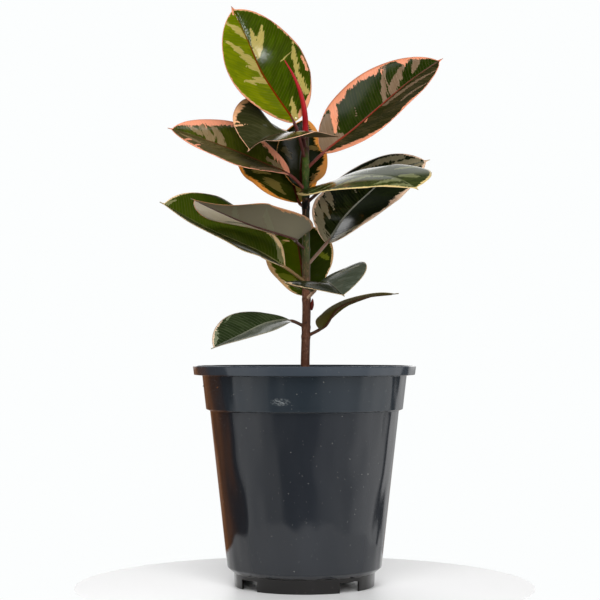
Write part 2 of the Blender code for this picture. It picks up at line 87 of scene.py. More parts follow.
# The soil, and its loose crumbs: half sizes, dark and light colour, scale of their grain,
# how many lie on a square metre, and the smallest and largest share of their size.
SOIL_EDGE_HEIGHT = 192.5
SOIL_CROWN = 2.5
SOIL_REACH = 96.4
SOIL_BODY_DROP = 1.0
SOIL_LIFT = 0.4
SOIL_GAP = 0.5
SOIL_STEPS = 96
SOIL_RINGS = 40
SOIL_WAVES = 24
SOIL_WAVE_HEIGHT = 0.12
SOIL_WAVE_STEEPNESS = 0.3
CRUMB_LUMPS = 0.28
CRUMBS = {
    "bark_chips": ((2.6, 1.5, 0.7), (44, 26, 16), (112, 74, 46), 300.0, 26000.0, 0.5, 1.5),
    "dark_grit": ((1.0, 0.9, 0.7), (24, 18, 14), (62, 46, 34), 500.0, 60000.0, 0.5, 1.5),
    "perlite_grains": ((1.1, 1.0, 0.9), (176, 172, 160), (236, 232, 222), 600.0, 5200.0, 0.5, 1.4),
}

# The stem, with a ring and the scar above it at each leaf, and its side bud.
STEM_AXIS = ((0.7, 0, 110), (0.7, 0, 216), (2.0, 0, 262), (1.6, 0, 310), (1.3, 0, 370), (1.0, 0, 437))
STEM_ROWS = 520
STEM_FOOT_RADIUS = 4.9
STEM_TOP_RADIUS = 3.3
RING_SWELL = 0.4
RING_REACH = 2.2
SCAR_DEPTH = 0.22
SCAR_RISE = 2.6
SCAR_REACH = 0.5
SIDE_BUD_PLACE = (7.4, -1.0, 270.0)
SIDE_BUD_SIZE = (1.9, 2.1, 5.8)
SIDE_BUD_TAPER = 0.35
SIDE_BUD_LEAN = 6.0

# The bark's colours by share of the way from its lowest to its highest place, in metres. The near-black
# stops from 0.65 to 0.71 are painted shade, where the leaves above shadow the stem.
BARK_PLACES = (0.21, 0.44)
BARK_AND_LEAF_SHADE = (
    (0.0, (86, 54, 40)), (0.31, (104, 68, 50)), (0.39, (78, 66, 42)), (0.51, (58, 70, 34)),
    (0.58, (44, 48, 22)), (0.65, (14, 9, 6)), (0.71, (14, 9, 6)), (0.75, (44, 70, 22)),
    (0.86, (72, 92, 34)), (0.93, (50, 28, 18)), (1.0, (38, 18, 14)),
)

# The sheath of the next leaf.
SHEATH_ROUTE = ((1, 0, 436.5), (1, -3, 444), (0, -12, 456), (-5, -22, 476), (-11, -28, 489), (-19, -34, 502))
SHEATH_RADII = (3.0, 2.9, 2.7, 1.9, 1.2, 0.4)
SHEATH_ROWS = 60

# A way that no tube runs in, which its rings are laid out from.
SLANT = (0.31, 0.87, 0.22)

# What all leaves share.
BLADE_ROWS = 150
ROW_CROWDING = 0.25
HALF_BLADE_CELLS = 18
CELL_CROWDING = 1.2
RIB_THICKNESS = 0.95
MARGIN_THICKNESS = 0.34
THINNING = 0.8
BODY_END = 0.965
BLUNTNESS = 0.64
DRIP_TIP_START = 0.86
DRIP_TIP_WIDTH_SHARE = 0.2
DRIP_TIP_TAPER = 1.1
LEAST_HALF_WIDTH = 0.15
WAVES_ALONG = 2.0
WAVE_LAG = 1.3
CUPPING = 0.9
MARGIN_CURL = 0.7
CURL_SHARPNESS = 10
GROOVE_DEPTH = 0.18
GROOVE_PLACE = 1.5
GROOVE_SPREAD = 0.5
VEIN_SPACING = 3.3
VEIN_LEAN = 0.40
VEIN_CURVE = 0.0045
QUILT_HEIGHT = 0.03
QUILT_FADE = 3.0
RELIEF_METRES = 0.00002
TOOTH_WIDTH = 1.3
LONGEST_TOOTH = 2.6
STROKE_POINT = 0.3
STROKE_SWELL = 1.4
STREAK_LIFT = 16
GLOW_LIFT = 60
STALK_LIFT = 34
RIM_COVER = 0.85
UNDERSIDE_COVER = 0.88
UNDERSIDE_ROUGH = 0.5
STALK_START = 0.12
STALK_ROWS = 16
PETIOLE_RADIUS = 1.6
PETIOLE_FLARE = 0.7
PETIOLE_FLARE_REACH = 4
RIB_ROWS = 50
RIB_END = 0.93
RIB_BASE_RADIUS = 1.5
RIB_TIP_RADIUS = 0.45
RIB_TAPER = 0.7
RIB_PROUD = 0.12
RIB_RUN_IN = 0.08

# The studio: how bright the windows are, and the room's brightness and warmth by the way
# that it is seen in, above and below eye level, in degrees from the front towards +X.
FLOOR_REACH = 220.0
FLOOR_COLOUR = (0.90, 0.90, 0.90, 1.0)
FLOOR_ROUGH = 0.45
BACKDROP = (0.975, 0.99, 0.99, 1.0)
WARM_GREEN = 0.35
WARM_BLUE = 0.5
EYE_LEVEL = (-0.06, 0.14)
WINDOW_GLOW = 1.4
WINDOW_HEIGHTS = ((0.0, 1.3), (0.3, 1.3), (0.37, 0.5), (0.58, 0.5), (0.66, 0.05), (1.0, 0.05))
ROOM_ABOVE = (
    (-180, 1.0, 0), (-155, 1.0, 0), (-135, 0.15, 0.5), (-100, 0.04, 0.5), (-60, 0.04, 0), (40, 0.04, 0),
    (110, 0.05, 0), (130, 0.15, 0), (155, 1.0, 0), (180, 1.0, 0),
)
ROOM_BELOW = (
    (-180, 0.2, 0.6), (-150, 0.22, 1.7), (-128, 0.14, 1.7), (-110, 0.05, 1.5), (-95, 0.03, 0.5),
    (-86, 0.5, 0), (-66, 0.42, 0), (-50, 0.3, 0), (-38, 0.26, 0), (-25, 0.07, 0), (-12, 0.03, 0),
    (8, 0.03, 0), (22, 0.2, 0), (58, 0.3, 0), (75, 0.5, 0), (92, 0.6, 0), (120, 0.5, 0),
    (124, 0.05, 0), (131, 0.05, 0), (135, 0.5, 0), (165, 0.25, 0), (180, 0.2, 0.6),
)

# The lights, in metres: where each stands, what it points at, its sides, its power and
# whether glossy faces mirror it.
LIGHTS = {
    "ceiling_left": ((-0.3, -0.33, 1.6), (0, 0, 0.45), (0.3, 0.3), 0.6, True),
    "ceiling_right": ((0.39, -0.18, 1.57), (0, 0, 0.45), (0.25, 0.25), 1.0, True),
    "doorway_right": ((1.44, -0.63, 0.81), (0, 0, 0.5), (0.07, 0.14), 1.3, True),
    "window_back": ((-0.73, 0.66, 1.31), (0, 0, 0.34), (0.22, 0.2), 0.9, True),
    "room_back": ((-0.5, 1.8, 0.9), (0, 0, 0.35), (1.4, 1.4), 18.0, False),
    "room_above": ((0.0, -1.3, 1.6), (0, 0, 0.35), (1.2, 1.2), 30.0, False),
    "room_fill": ((0.4, -1.9, 0.35), (0, 0, 0.35), (1.4, 1.4), 30.0, False),
}


@dataclass
class Leaf:
    """One leaf's form and markings, in millimetres and degrees.

    node is the height of the ring that the petiole grows from, and rib runs from the
    blade's foot to its tip. Pairs are for the left and right half, seen from above with
    the tip ahead. margin says how far the pale margin reaches in, as (share of the
    length, reach) points. patches and spots are strokes, each from a narrow end (share of
    the length, share across) to a full end on the same side, with its half thickness last.
    Colours are on a screen's scale. On some leaves a half's core or underside colour, or a patch stroke,
    holds painted sheen, a painted highlight or painted backlight, as noted at each leaf.
    """

    name: str
    node: float
    rib: tuple
    half_widths: tuple
    face_foot: tuple
    face_tip: tuple
    rise: tuple
    widest: tuple = (0.5, 0.5)
    wave: float = 1.2
    margin: tuple = ()
    patches: tuple = ()
    spots: tuple = ()
    core: tuple = ()
    core_light: tuple = ()
    patch: tuple = (98, 88, 66)
    pale: tuple = (214, 150, 112)
    rim: tuple = (226, 164, 132)
    under: tuple = ((116, 112, 84), (116, 112, 84))
    petiole: tuple = (96, 34, 28)
    rib_colour: tuple = (96, 50, 34)
    glow: tuple = ((60, 90, 6), (60, 90, 6))
    glow_pale: tuple = (255, 190, 110)
    glow_share: float = 0.2
    rough: float = 0.14
    veins: float = 0.2


LEAVES = (
    Leaf(
        "leaf_01_low_right", node=239,
        rib=((15, -6, 246), (32, -32, 266.5), (52, -52, 274.5), (86.5, -80, 278)), half_widths=(24.5, 30.0),
        face_foot=(-0.36, -0.36, 0.86), face_tip=(0.01, -0.09, 0.99), rise=((-12, -13, 1), (13, -3, 20)),
        widest=(0.66, 0.50), wave=0.6, margin=(((0, 0.6), (1, 0.6)), ((0, 0.6), (1, 0.6))),
        core=((40, 46, 18), (44, 50, 20)), core_light=((64, 70, 34), (66, 72, 34)), pale=(176, 162, 124),
        rim=(138, 130, 98), under=((96, 88, 34), (96, 88, 34)), petiole=(74, 44, 30),
        glow=((70, 76, 6), (70, 76, 6)),
    ),
    Leaf(
        "leaf_02_low_left", node=248,
        rib=((-12, -8, 254), (-34.5, -23, 252), (-61, -37, 240), (-88, -47, 227)), half_widths=(34.0, 27.0),
        face_foot=(0.06, -0.60, 0.80), face_tip=(-0.23, -0.59, 0.77), rise=((24, 21, 36), (23, 13, 18)),
        widest=(0.56, 0.64), wave=0.6,
        margin=(((0, 0.5), (0.7, 0.6), (1, 1.5)), ((0, 0.5), (0.6, 0.8), (0.85, 3), (0.95, 4.5), (1, 3))),
        patches=((0.93, 0.3, 0.85, 0.9, 3), (0.7, 0.8, 0.6, 0.95, 1.5)),
        # The left half's grey core is painted sheen: a pale gloss band laid into its colour, where the right
        # half shows the green.
        core=((104, 108, 98), (36, 46, 26)), core_light=((140, 142, 134), (60, 70, 46)),
        patch=(112, 118, 92), pale=(232, 204, 176), rim=(150, 148, 116), petiole=(64, 40, 28),
        rib_colour=(120, 122, 104), veins=0.4,
    ),
    Leaf(
        "leaf_03_low_front", node=275,
        rib=((8, -10.5, 281), (13, -39.5, 289), (23, -74, 287.5), (36, -104, 274.5)),
        half_widths=(39.0, 41.5), face_foot=(-0.14, -0.07, 0.99), face_tip=(0.07, -0.33, 0.94),
        rise=((39, 17, 34), (4, -1, 12)), widest=(0.66, 0.63),
        margin=(((0, 0.5), (1, 0.8)), ((0, 1.5), (0.5, 0.9), (0.8, 1.6), (1, 1))),
        patches=((0.5, -0.2, 0.65, -0.8, 3), (0.3, -0.2, 0.42, -0.7, 3)),
        # The left half's grey-green core is painted sheen over the dark green that the right half shows.
        spots=((0.6, 0.9, 0.68, 0.98, 2),), core=((66, 72, 60), (28, 32, 14)),
        core_light=((92, 98, 86), (46, 50, 28)), patch=(104, 108, 92), pale=(214, 180, 140),
        rim=(168, 156, 124), petiole=(196, 160, 130), rib_colour=(110, 108, 92), veins=0.3,
    ),
    Leaf(
        "leaf_04_low_back", node=280,
        rib=((1, 10.5, 279), (-1.5, 29, 298), (-5.5, 55, 326), (-13, 84, 358.5)), half_widths=(34.5, 34.5),
        face_foot=(-0.04, -0.85, 0.52), face_tip=(-0.09, -0.71, 0.70), rise=((11, 6, 8), (12, 12, 12)),
        margin=(
            ((0, 2), (0.2, 4), (0.5, 4.5), (0.8, 2), (1, 1)), ((0, 1), (0.3, 1.5), (0.7, 2.5), (1, 1.5)),
        ),
        patches=((0.3, -0.9, 0.2, -0.4, 3.5), (0.76, -0.3, 0.66, -0.7, 3), (0.5, 0.5, 0.4, 0.8, 3)),
        spots=((0.7, 0.85, 0.74, 0.95, 2.5), (0.74, -0.55, 0.72, -0.3, 1.2)),
        core=((66, 78, 0), (44, 52, 18)), core_light=((78, 92, 4), (56, 68, 20)), patch=(108, 116, 30),
        pale=(238, 200, 150), rim=(236, 186, 140), petiole=(128, 104, 66),
        glow=((110, 140, 0), (80, 110, 0)), glow_pale=(255, 210, 140), glow_share=0.34,
    ),
    Leaf(
        "leaf_05_left", node=291,
        rib=(
            (-18, -16, 305), (-42.5, -18.5, 320), (-61.5, -23, 328.5), (-90, -32.5, 340.5),
            (-136.5, -46.5, 365.5),
        ),
        half_widths=(35.5, 50.0), face_foot=(0.03, -0.34, 0.94), face_tip=(0.26, -0.26, 0.93),
        rise=((5, 3, 7), (29, 21, 49)), widest=(0.55, 0.51),
        margin=(
            ((0, 1), (1, 1)),
            ((0, 4.5), (0.15, 5), (0.26, 3.5), (0.32, 0.8), (0.8, 0.9), (0.9, 2.5), (1, 1.5)),
        ),
        patches=((0.18, 0.85, 0.05, 0.5, 4), (0.9, 0.6, 0.97, 0.3, 2), (0.9, -0.2, 0.95, -0.8, 1.5)),
        core=((56, 56, 36), (50, 64, 12)), core_light=((76, 76, 54), (62, 72, 16)), patch=(112, 112, 74),
        pale=(232, 200, 152), rim=(196, 174, 130), petiole=(110, 84, 48), rib_colour=(120, 120, 76),
        glow=((50, 76, 0), (50, 76, 0)), glow_share=0.22, veins=0.3,
    ),
    Leaf(
        "leaf_06_right", node=307,
        rib=((21.5, 9, 330), (40.5, 20.5, 357.5), (64, 38, 381.5), (91.5, 51, 405), (126.5, 58, 417.5)),
        half_widths=(48.0, 45.5), face_foot=(-0.45, -0.77, 0.45), face_tip=(-0.47, -0.72, 0.50),
        rise=((28, -13, -2), (17, 10, 6)), widest=(0.47, 0.46),
        margin=(
            (
                (0, 1.5), (0.1, 3), (0.24, 4), (0.34, 5), (0.42, 1.5), (0.5, 1), (0.8, 1), (0.88, 3),
                (0.95, 4), (1, 3),
            ),
            (
                (0, 1.2), (0.12, 1.5), (0.2, 4), (0.26, 5), (0.31, 2.4), (0.37, 2), (0.43, 7), (0.5, 7),
                (0.58, 4), (0.64, 1), (0.85, 1), (0.92, 5), (1, 3),
            ),
        ),
        patches=(
            (0.24, -0.36, 0.4, -0.92, 3), (0.17, -0.36, 0.31, -0.95, 3.4), (0.12, -0.5, 0.24, -0.98, 3.4),
            # The strokes from (0.6, -0.8) and (0.66, -0.3), towards the tip of the left half, are painted
            # sheen: a grey-green reflection laid in as patch colour.
            (0.45, -0.24, 0.54, -0.6, 1.3), (0.14, -0.9, 0.02, -0.4, 5), (0.6, -0.8, 0.84, -0.66, 4.5),
            (0.66, -0.3, 0.92, -0.3, 4), (0.2, 0.98, 0.02, 0.5, 3), (0.85, 0.15, 0.95, 0.6, 3),
        ),
        core=((20, 28, 6), (22, 32, 8)), core_light=((48, 56, 28), (38, 48, 18)), patch=(128, 120, 96),
        pale=(250, 212, 182), rim=(218, 194, 160), petiole=(104, 78, 62), rib_colour=(150, 150, 138),
        glow=((24, 30, 4), (24, 30, 4)), glow_pale=(255, 226, 200), glow_share=0.3, veins=0.1,
    ),
    Leaf(
        "leaf_07_front_left", node=323,
        rib=((-8, -12.5, 330), (-8, -38, 331), (-51.5, -55, 344), (-104.5, -88, 365)),
        half_widths=(38.5, 38.5), face_foot=(0.00, 0.37, 0.95), face_tip=(-0.02, -0.03, 1.00),
        rise=((44, 22, -8), (34, 12, -9)), widest=(0.54, 0.53),
        margin=(((0, 1), (0.25, 2.5), (0.4, 4), (0.5, 1), (0.64, 2.5), (0.7, 1), (1, 1)), ((0, 1), (1, 1))),
        patches=((0.5, -0.8, 0.4, -0.1, 3), (0.75, -0.7, 0.66, -0.1, 3), (0.6, 0.8, 0.5, 0.15, 3.5)),
        core=((40, 50, 16), (42, 52, 18)), core_light=((62, 72, 28), (64, 74, 30)), patch=(70, 74, 36),
        # The underside is paler than the upper face; its right half is raised to near white as a painted
        # highlight on a half that lies in shade.
        pale=(150, 128, 104), rim=(150, 128, 104), under=((176, 168, 142), (255, 252, 244)),
        petiole=(50, 22, 16), rib_colour=(70, 40, 28), glow=((120, 108, 70), (236, 226, 204)),
        glow_share=0.6, veins=0.1,
    ),
    Leaf(
        "leaf_08_back_left", node=364,
        rib=((-5, 14.5, 370), (-13, 27, 394), (-35, 46, 424.5), (-61.5, 66, 456.5)),
        half_widths=(50.0, 38.0), face_foot=(0.13, -0.80, 0.58), face_tip=(0.23, -0.71, 0.67),
        rise=((18, 10, 11), (12, 12, 12)), widest=(0.39, 0.50),
        margin=(
            ((0, 6), (0.15, 7), (0.3, 6), (0.4, 3), (0.5, 4), (0.8, 4), (1, 3)),
            ((0, 3), (0.3, 5), (0.6, 4), (1, 3)),
        ),
        patches=((0.1, -0.4, 0.25, -0.6, 5), (0.32, -0.4, 0.4, -0.7, 3), (0.02, 0.4, 0.14, 0.2, 4)),
        core=((78, 86, 20), (58, 58, 24)), core_light=((112, 108, 50), (90, 84, 44)), patch=(112, 102, 56),
        pale=(250, 196, 124), rim=(238, 176, 116), petiole=(104, 42, 30), glow=((66, 80, 8), (60, 70, 6)),
        glow_pale=(255, 196, 90), glow_share=0.75,
    ),
    Leaf(
        "leaf_09_front_right", node=368,
        rib=(
            (17.5, -7.5, 381.5), (28.5, -34.5, 387), (53.5, -61, 389), (85.5, -80, 384), (103.5, -99, 372),
        ),
        half_widths=(57.0, 53.0), face_foot=(-0.20, -0.35, 0.92), face_tip=(-0.13, -0.26, 0.96),
        rise=((10, -16, 6), (2, -6, 8)), widest=(0.57, 0.46),
        margin=(
            ((0, 1.5), (0.1, 1.2), (0.3, 0.8), (0.66, 0.8), (0.82, 2), (0.92, 5), (1, 3)),
            ((0, 3), (0.1, 4), (0.3, 3.5), (0.5, 3), (0.8, 3), (0.88, 5), (1, 3)),
        ),
        patches=(
            (0.4, 0.85, 0.44, 0.05, 4), (0.5, 0.8, 0.56, 0.08, 4), (0.56, 0.2, 0.66, 0.1, 3.6),
            (0.74, 0.8, 0.8, 0.1, 4.5), (0.86, 0.7, 0.92, 0.1, 3), (0.28, 0.9, 0.34, 0.3, 3),
            (0.36, -0.1, 0.46, -0.8, 4), (0.76, -0.1, 0.82, -0.4, 4.4), (0.66, -0.5, 0.72, -0.95, 3),
            (0.14, -0.3, 0.24, -0.9, 4),
        ),
        core=((46, 56, 24), (50, 60, 22)), core_light=((70, 78, 40), (72, 82, 36)), patch=(112, 116, 76),
        pale=(226, 200, 136), rim=(224, 200, 146), petiole=(52, 28, 22), rib_colour=(140, 142, 106),
        glow=((70, 76, 6), (70, 76, 6)), glow_share=0.18,
    ),
    Leaf(
        "leaf_10_back", node=376,
        rib=((-2, 6, 383), (-3.5, 23.5, 402), (-1, 46.5, 432), (2.5, 65.5, 461.5)),
        half_widths=(26.0, 26.5), face_foot=(0.02, -0.86, 0.51), face_tip=(0.04, -0.85, 0.53),
        rise=((12, 12, 12), (11, 9, 11)), widest=(0.50, 0.35),
        margin=(
            ((0, 1), (0.5, 1), (1, 2)),
            ((0, 6), (0.15, 8), (0.28, 9), (0.42, 4), (0.5, 5), (0.62, 10), (0.8, 6), (1, 4)),
        ),
        patches=((0.2, 0.5, 0.1, 0.7, 3.5), (0.6, 0.2, 0.56, 0.6, 3), (0.4, -0.4, 0.5, -0.7, 3)),
        core=((50, 54, 26), (34, 46, 16)), core_light=((68, 70, 38), (48, 62, 24)), patch=(118, 104, 62),
        pale=(255, 204, 132), rim=(246, 190, 126), petiole=(96, 60, 34), glow=((50, 60, 14), (50, 60, 14)),
        glow_pale=(255, 196, 100), glow_share=0.75,
    ),
    Leaf(
        "leaf_11_upper_left", node=381,
        rib=(
            (-14, -8.5, 395), (-39.5, -12.5, 406), (-66, -15.5, 417), (-95, -18.5, 427.5),
            (-131, -24, 438.5),
        ),
        half_widths=(35.5, 34.0), face_foot=(0.27, -0.69, 0.67), face_tip=(0.19, -0.69, 0.70),
        rise=((22, 17, 22), (15, 11, 10)), widest=(0.56, 0.51),
        margin=(
            ((0, 3), (0.12, 2), (0.2, 1), (0.68, 1), (0.74, 3), (0.84, 3), (0.88, 1.2), (1, 1)),
            (
                (0, 4), (0.05, 8), (0.2, 9), (0.28, 6), (0.33, 5), (0.42, 6), (0.5, 9), (0.56, 6), (0.6, 8),
                (0.66, 10), (0.72, 11), (0.77, 8), (0.82, 10), (0.88, 6), (0.93, 2.5), (1, 1.5),
            ),
        ),
        patches=(
            (0.88, 0.82, 0.75, 0.2, 2.6), (0.79, 0.85, 0.66, 0.1, 4.4), (0.7, 0.75, 0.57, 0.08, 4.4),
            (0.9, -0.3, 0.74, -0.5, 3), (0.3, -0.9, 0.02, -0.3, 5), (0.02, 0.1, 0.2, 0.3, 2.5),
        ),
        spots=(
            (0.86, -0.88, 0.81, -0.55, 1.6), (0.78, -0.96, 0.74, -0.7, 1.6), (0.08, -0.9, 0.02, -0.4, 2),
        ),
        core=((78, 72, 40), (50, 56, 12)), core_light=((96, 88, 56), (76, 82, 22)), patch=(122, 104, 74),
        pale=(248, 160, 128), rim=(250, 176, 146), petiole=(90, 36, 30), rib_colour=(92, 56, 34),
        glow=((70, 76, 10), (72, 96, 2)), glow_pale=(255, 200, 160), glow_share=0.24,
    ),
    Leaf(
        "leaf_12_upper_right", node=401,
        rib=((18.5, 3.5, 418), (45, 12.5, 439.5), (73, 21.5, 464.5), (106, 31, 493.5), (138, 35.5, 516)),
        half_widths=(45.0, 40.0), face_foot=(-0.42, -0.85, 0.32), face_tip=(-0.46, -0.85, 0.26),
        rise=((9, 4, 7), (22, 34, 22)), widest=(0.45, 0.44),
        margin=(
            (
                (0, 0.8), (0.2, 1), (0.27, 5), (0.33, 9), (0.38, 9), (0.42, 6), (0.47, 7.5), (0.53, 6),
                (0.58, 9), (0.64, 9.5), (0.68, 5), (0.73, 2), (0.765, 2), (0.785, 11), (0.81, 8), (0.84, 3),
                (0.88, 4), (0.92, 2.5), (1, 1),
            ),
            (
                (0, 6), (0.1, 8), (0.2, 7), (0.3, 2.5), (0.38, 1), (0.46, 1), (0.52, 2.6), (0.6, 2.4),
                (0.7, 0.8), (1, 0.8),
            ),
        ),
        patches=(
            (0.21, -0.85, 0.05, -0.45, 11), (0.17, -0.1, 0.05, -0.3, 7), (0.71, -0.9, 0.53, -0.04, 3),
            (0.79, -0.66, 0.61, -0.1, 4.4), (0.79, -0.2, 0.88, -0.88, 3.6), (0.38, -0.42, 0.33, -0.2, 0.7),
            (0.9, 0.85, 0.5, 0.12, 2.8), (0.8, 0.95, 0.56, 0.6, 1.6),
        ),
        spots=(
            (0.15, -0.3, 0.31, -0.95, 3.6), (0.37, 0.04, 0.33, 0.14, 1.1), (0.7, -0.94, 0.66, -0.7, 1.2),
        ),
        core=((30, 42, 8), (40, 43, 20)), core_light=((46, 56, 18), (72, 64, 40)), patch=(112, 92, 72),
        pale=(228, 146, 112), rim=(226, 144, 116), petiole=(92, 34, 24), rib_colour=(122, 44, 28),
        glow=((66, 78, 6), (60, 62, 6)), glow_share=0.18,
    ),
    Leaf(
        "leaf_13_top_left", node=409,
        rib=(
            (-10, -13.5, 445), (-26.5, -20, 469), (-41.5, -25, 492), (-54, -32, 520), (-69.5, -42.5, 551.9),
        ),
        half_widths=(50.0, 57.0), face_foot=(0.50, -0.85, 0.20), face_tip=(0.34, -0.88, 0.33),
        rise=((21, 31, 10), (2, -8, -2)), widest=(0.52, 0.40),
        margin=(
            ((0, 3.5), (0.2, 2.5), (0.4, 2), (0.5, 1.2), (0.6, 0.8), (0.9, 0.8), (0.95, 2), (1, 2)),
            (
                (0, 5), (0.06, 3), (0.2, 1), (0.5, 1), (0.6, 2), (0.7, 2.2), (0.75, 1), (0.85, 2.2),
                (0.95, 2.5), (1, 2),
            ),
        ),
        patches=(
            (0.91, -0.87, 0.76, -0.03, 3.6), (0.8, -0.84, 0.6, -0.28, 3.8), (0.66, -0.36, 0.5, -0.04, 4.2),
            (0.56, -0.42, 0.48, -0.05, 2), (0.47, -0.7, 0.38, -0.08, 2.6), (0.46, -0.4, 0.41, -0.06, 1.8),
            (0.53, -0.1, 0.37, -0.04, 1.8), (0.76, 0.62, 0.62, 0.14, 4.4), (0.78, 0.25, 0.6, 0.08, 3.6),
            (0.49, 0.78, 0.45, 0.46, 0.9), (0.57, 0.95, 0.33, 0.72, 3.2), (0.36, 0.68, 0.13, 0.78, 3.8),
            (0.16, 0.3, 0, 0.1, 3.5),
        ),
        spots=((0.42, 0.96, 0.27, 0.93, 1.8), (0.1, 0.95, 0.02, 0.6, 2.2), (0.99, -0.6, 0.94, -0.25, 1.2)),
        # The lime of the left half's core is the leaf's own tint, lightened against the right half as
        # painted backlight.
        core=((92, 106, 0), (48, 60, 0)), core_light=((128, 136, 0), (70, 92, 0)), patch=(164, 150, 82),
        pale=(230, 156, 122), rim=(218, 136, 108), petiole=(66, 24, 20), rib_colour=(116, 44, 12),
        glow=((124, 146, 0), (90, 122, 0)), glow_pale=(255, 190, 120), rough=0.08, glow_share=0.3,
    ),
    Leaf(
        "leaf_14_top_front", node=421,
        rib=(
            (-1, -11, 431.5), (-0.5, -26, 430), (-20.5, -47.5, 430), (-44, -53, 420.5), (-53.5, -54.5, 412),
        ),
        half_widths=(60.0, 55.5), face_foot=(-0.08, -0.21, 0.97), face_tip=(-0.74, -0.45, 0.49),
        rise=((-16, -5, 25), (-13, 21, 60)), widest=(0.56, 0.66),
        margin=(
            ((0, 1), (0.5, 1.4), (1, 1.5)),
            (
                (0, 1), (0.3, 1.2), (0.6, 1.5), (0.7, 5), (0.78, 7.5), (0.85, 6), (0.89, 2), (0.93, 2),
                (1, 4),
            ),
        ),
        patches=((0.3, 0.9, 0.4, 0.5, 2.2), (0.36, -0.15, 0.5, -0.9, 3), (0.6, -0.2, 0.7, -0.8, 3)),
        spots=((0.82, 0.5, 0.9, 0.98, 0.8), (0.85, 0.7, 0.88, 1, 0.7), (0.4, -0.4, 0.46, -0.95, 0.7)),
        core=((52, 50, 30), (46, 48, 26)), core_light=((82, 76, 52), (64, 64, 42)), patch=(104, 92, 64),
        pale=(232, 174, 130), rim=(234, 184, 160), petiole=(52, 20, 18), rib_colour=(80, 56, 40),
        glow=((70, 76, 6), (70, 76, 6)), glow_pale=(255, 196, 70), glow_share=0.16,
    ),
)


def screen(colour, lift=0):
    """A colour given on a screen's 0 to 255 scale, as linear light."""
    return tuple(((part + lift) / 255) ** 2.2 for part in colour) + (1.0,)


def add_object(name, data, *materials):
    thing = bpy.data.objects.new(name, data)
    bpy.context.scene.collection.objects.link(thing)
    for material in materials:
        data.materials.append(material)
    return thing


def smooth_mesh(name, verts, faces):
    mesh = bpy.data.meshes.new(name)
    mesh.from_pydata((verts.reshape(-1, 3) * MM).tolist(), [], faces)
    mesh.shade_smooth()
    return mesh


def mesh_from(shape, name):
    """What a bmesh holds, as a mesh."""
    mesh = bpy.data.meshes.new(name)
    shape.to_mesh(mesh)
    shape.free()
    return mesh


def make_plain(thing):
    """Gives the thing the mesh that its modifiers make, and clears them."""
    bpy.context.view_layer.update()
    seen = thing.evaluated_get(bpy.context.evaluated_depsgraph_get())
    mesh = bpy.data.meshes.new_from_object(seen)
    mesh.name = thing.name
    thing.modifiers.clear()
    thing.data = mesh
    return thing


def join_meshes(name, parts):
    """Objects joined into one, with all their materials and attributes kept."""
    with bpy.context.temp_override(active_object=parts[0], selected_editable_objects=parts):
        bpy.ops.object.join()
    parts[0].name = name
    return parts[0]


def dress(piece, node):
    """Puts a finished piece in the place of a solid."""
    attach(piece, BODY)
    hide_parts(node)


class Value:
    """An output of a node. Arithmetic on it adds nodes to its tree."""

    def __init__(self, tree, socket):
        self.tree = tree
        self.socket = socket

    def __add__(self, other):
        return self.tree.math("ADD", self, other)

    def __sub__(self, other):
        return self.tree.math("SUBTRACT", self, other)

    def __rsub__(self, other):
        return self.tree.math("SUBTRACT", other, self)

    def __mul__(self, other):
        return self.tree.math("MULTIPLY", self, other)

    def __truediv__(self, other):
        return self.tree.math("DIVIDE", self, other)

    def __abs__(self):
        return self.tree.math("ABSOLUTE", self)


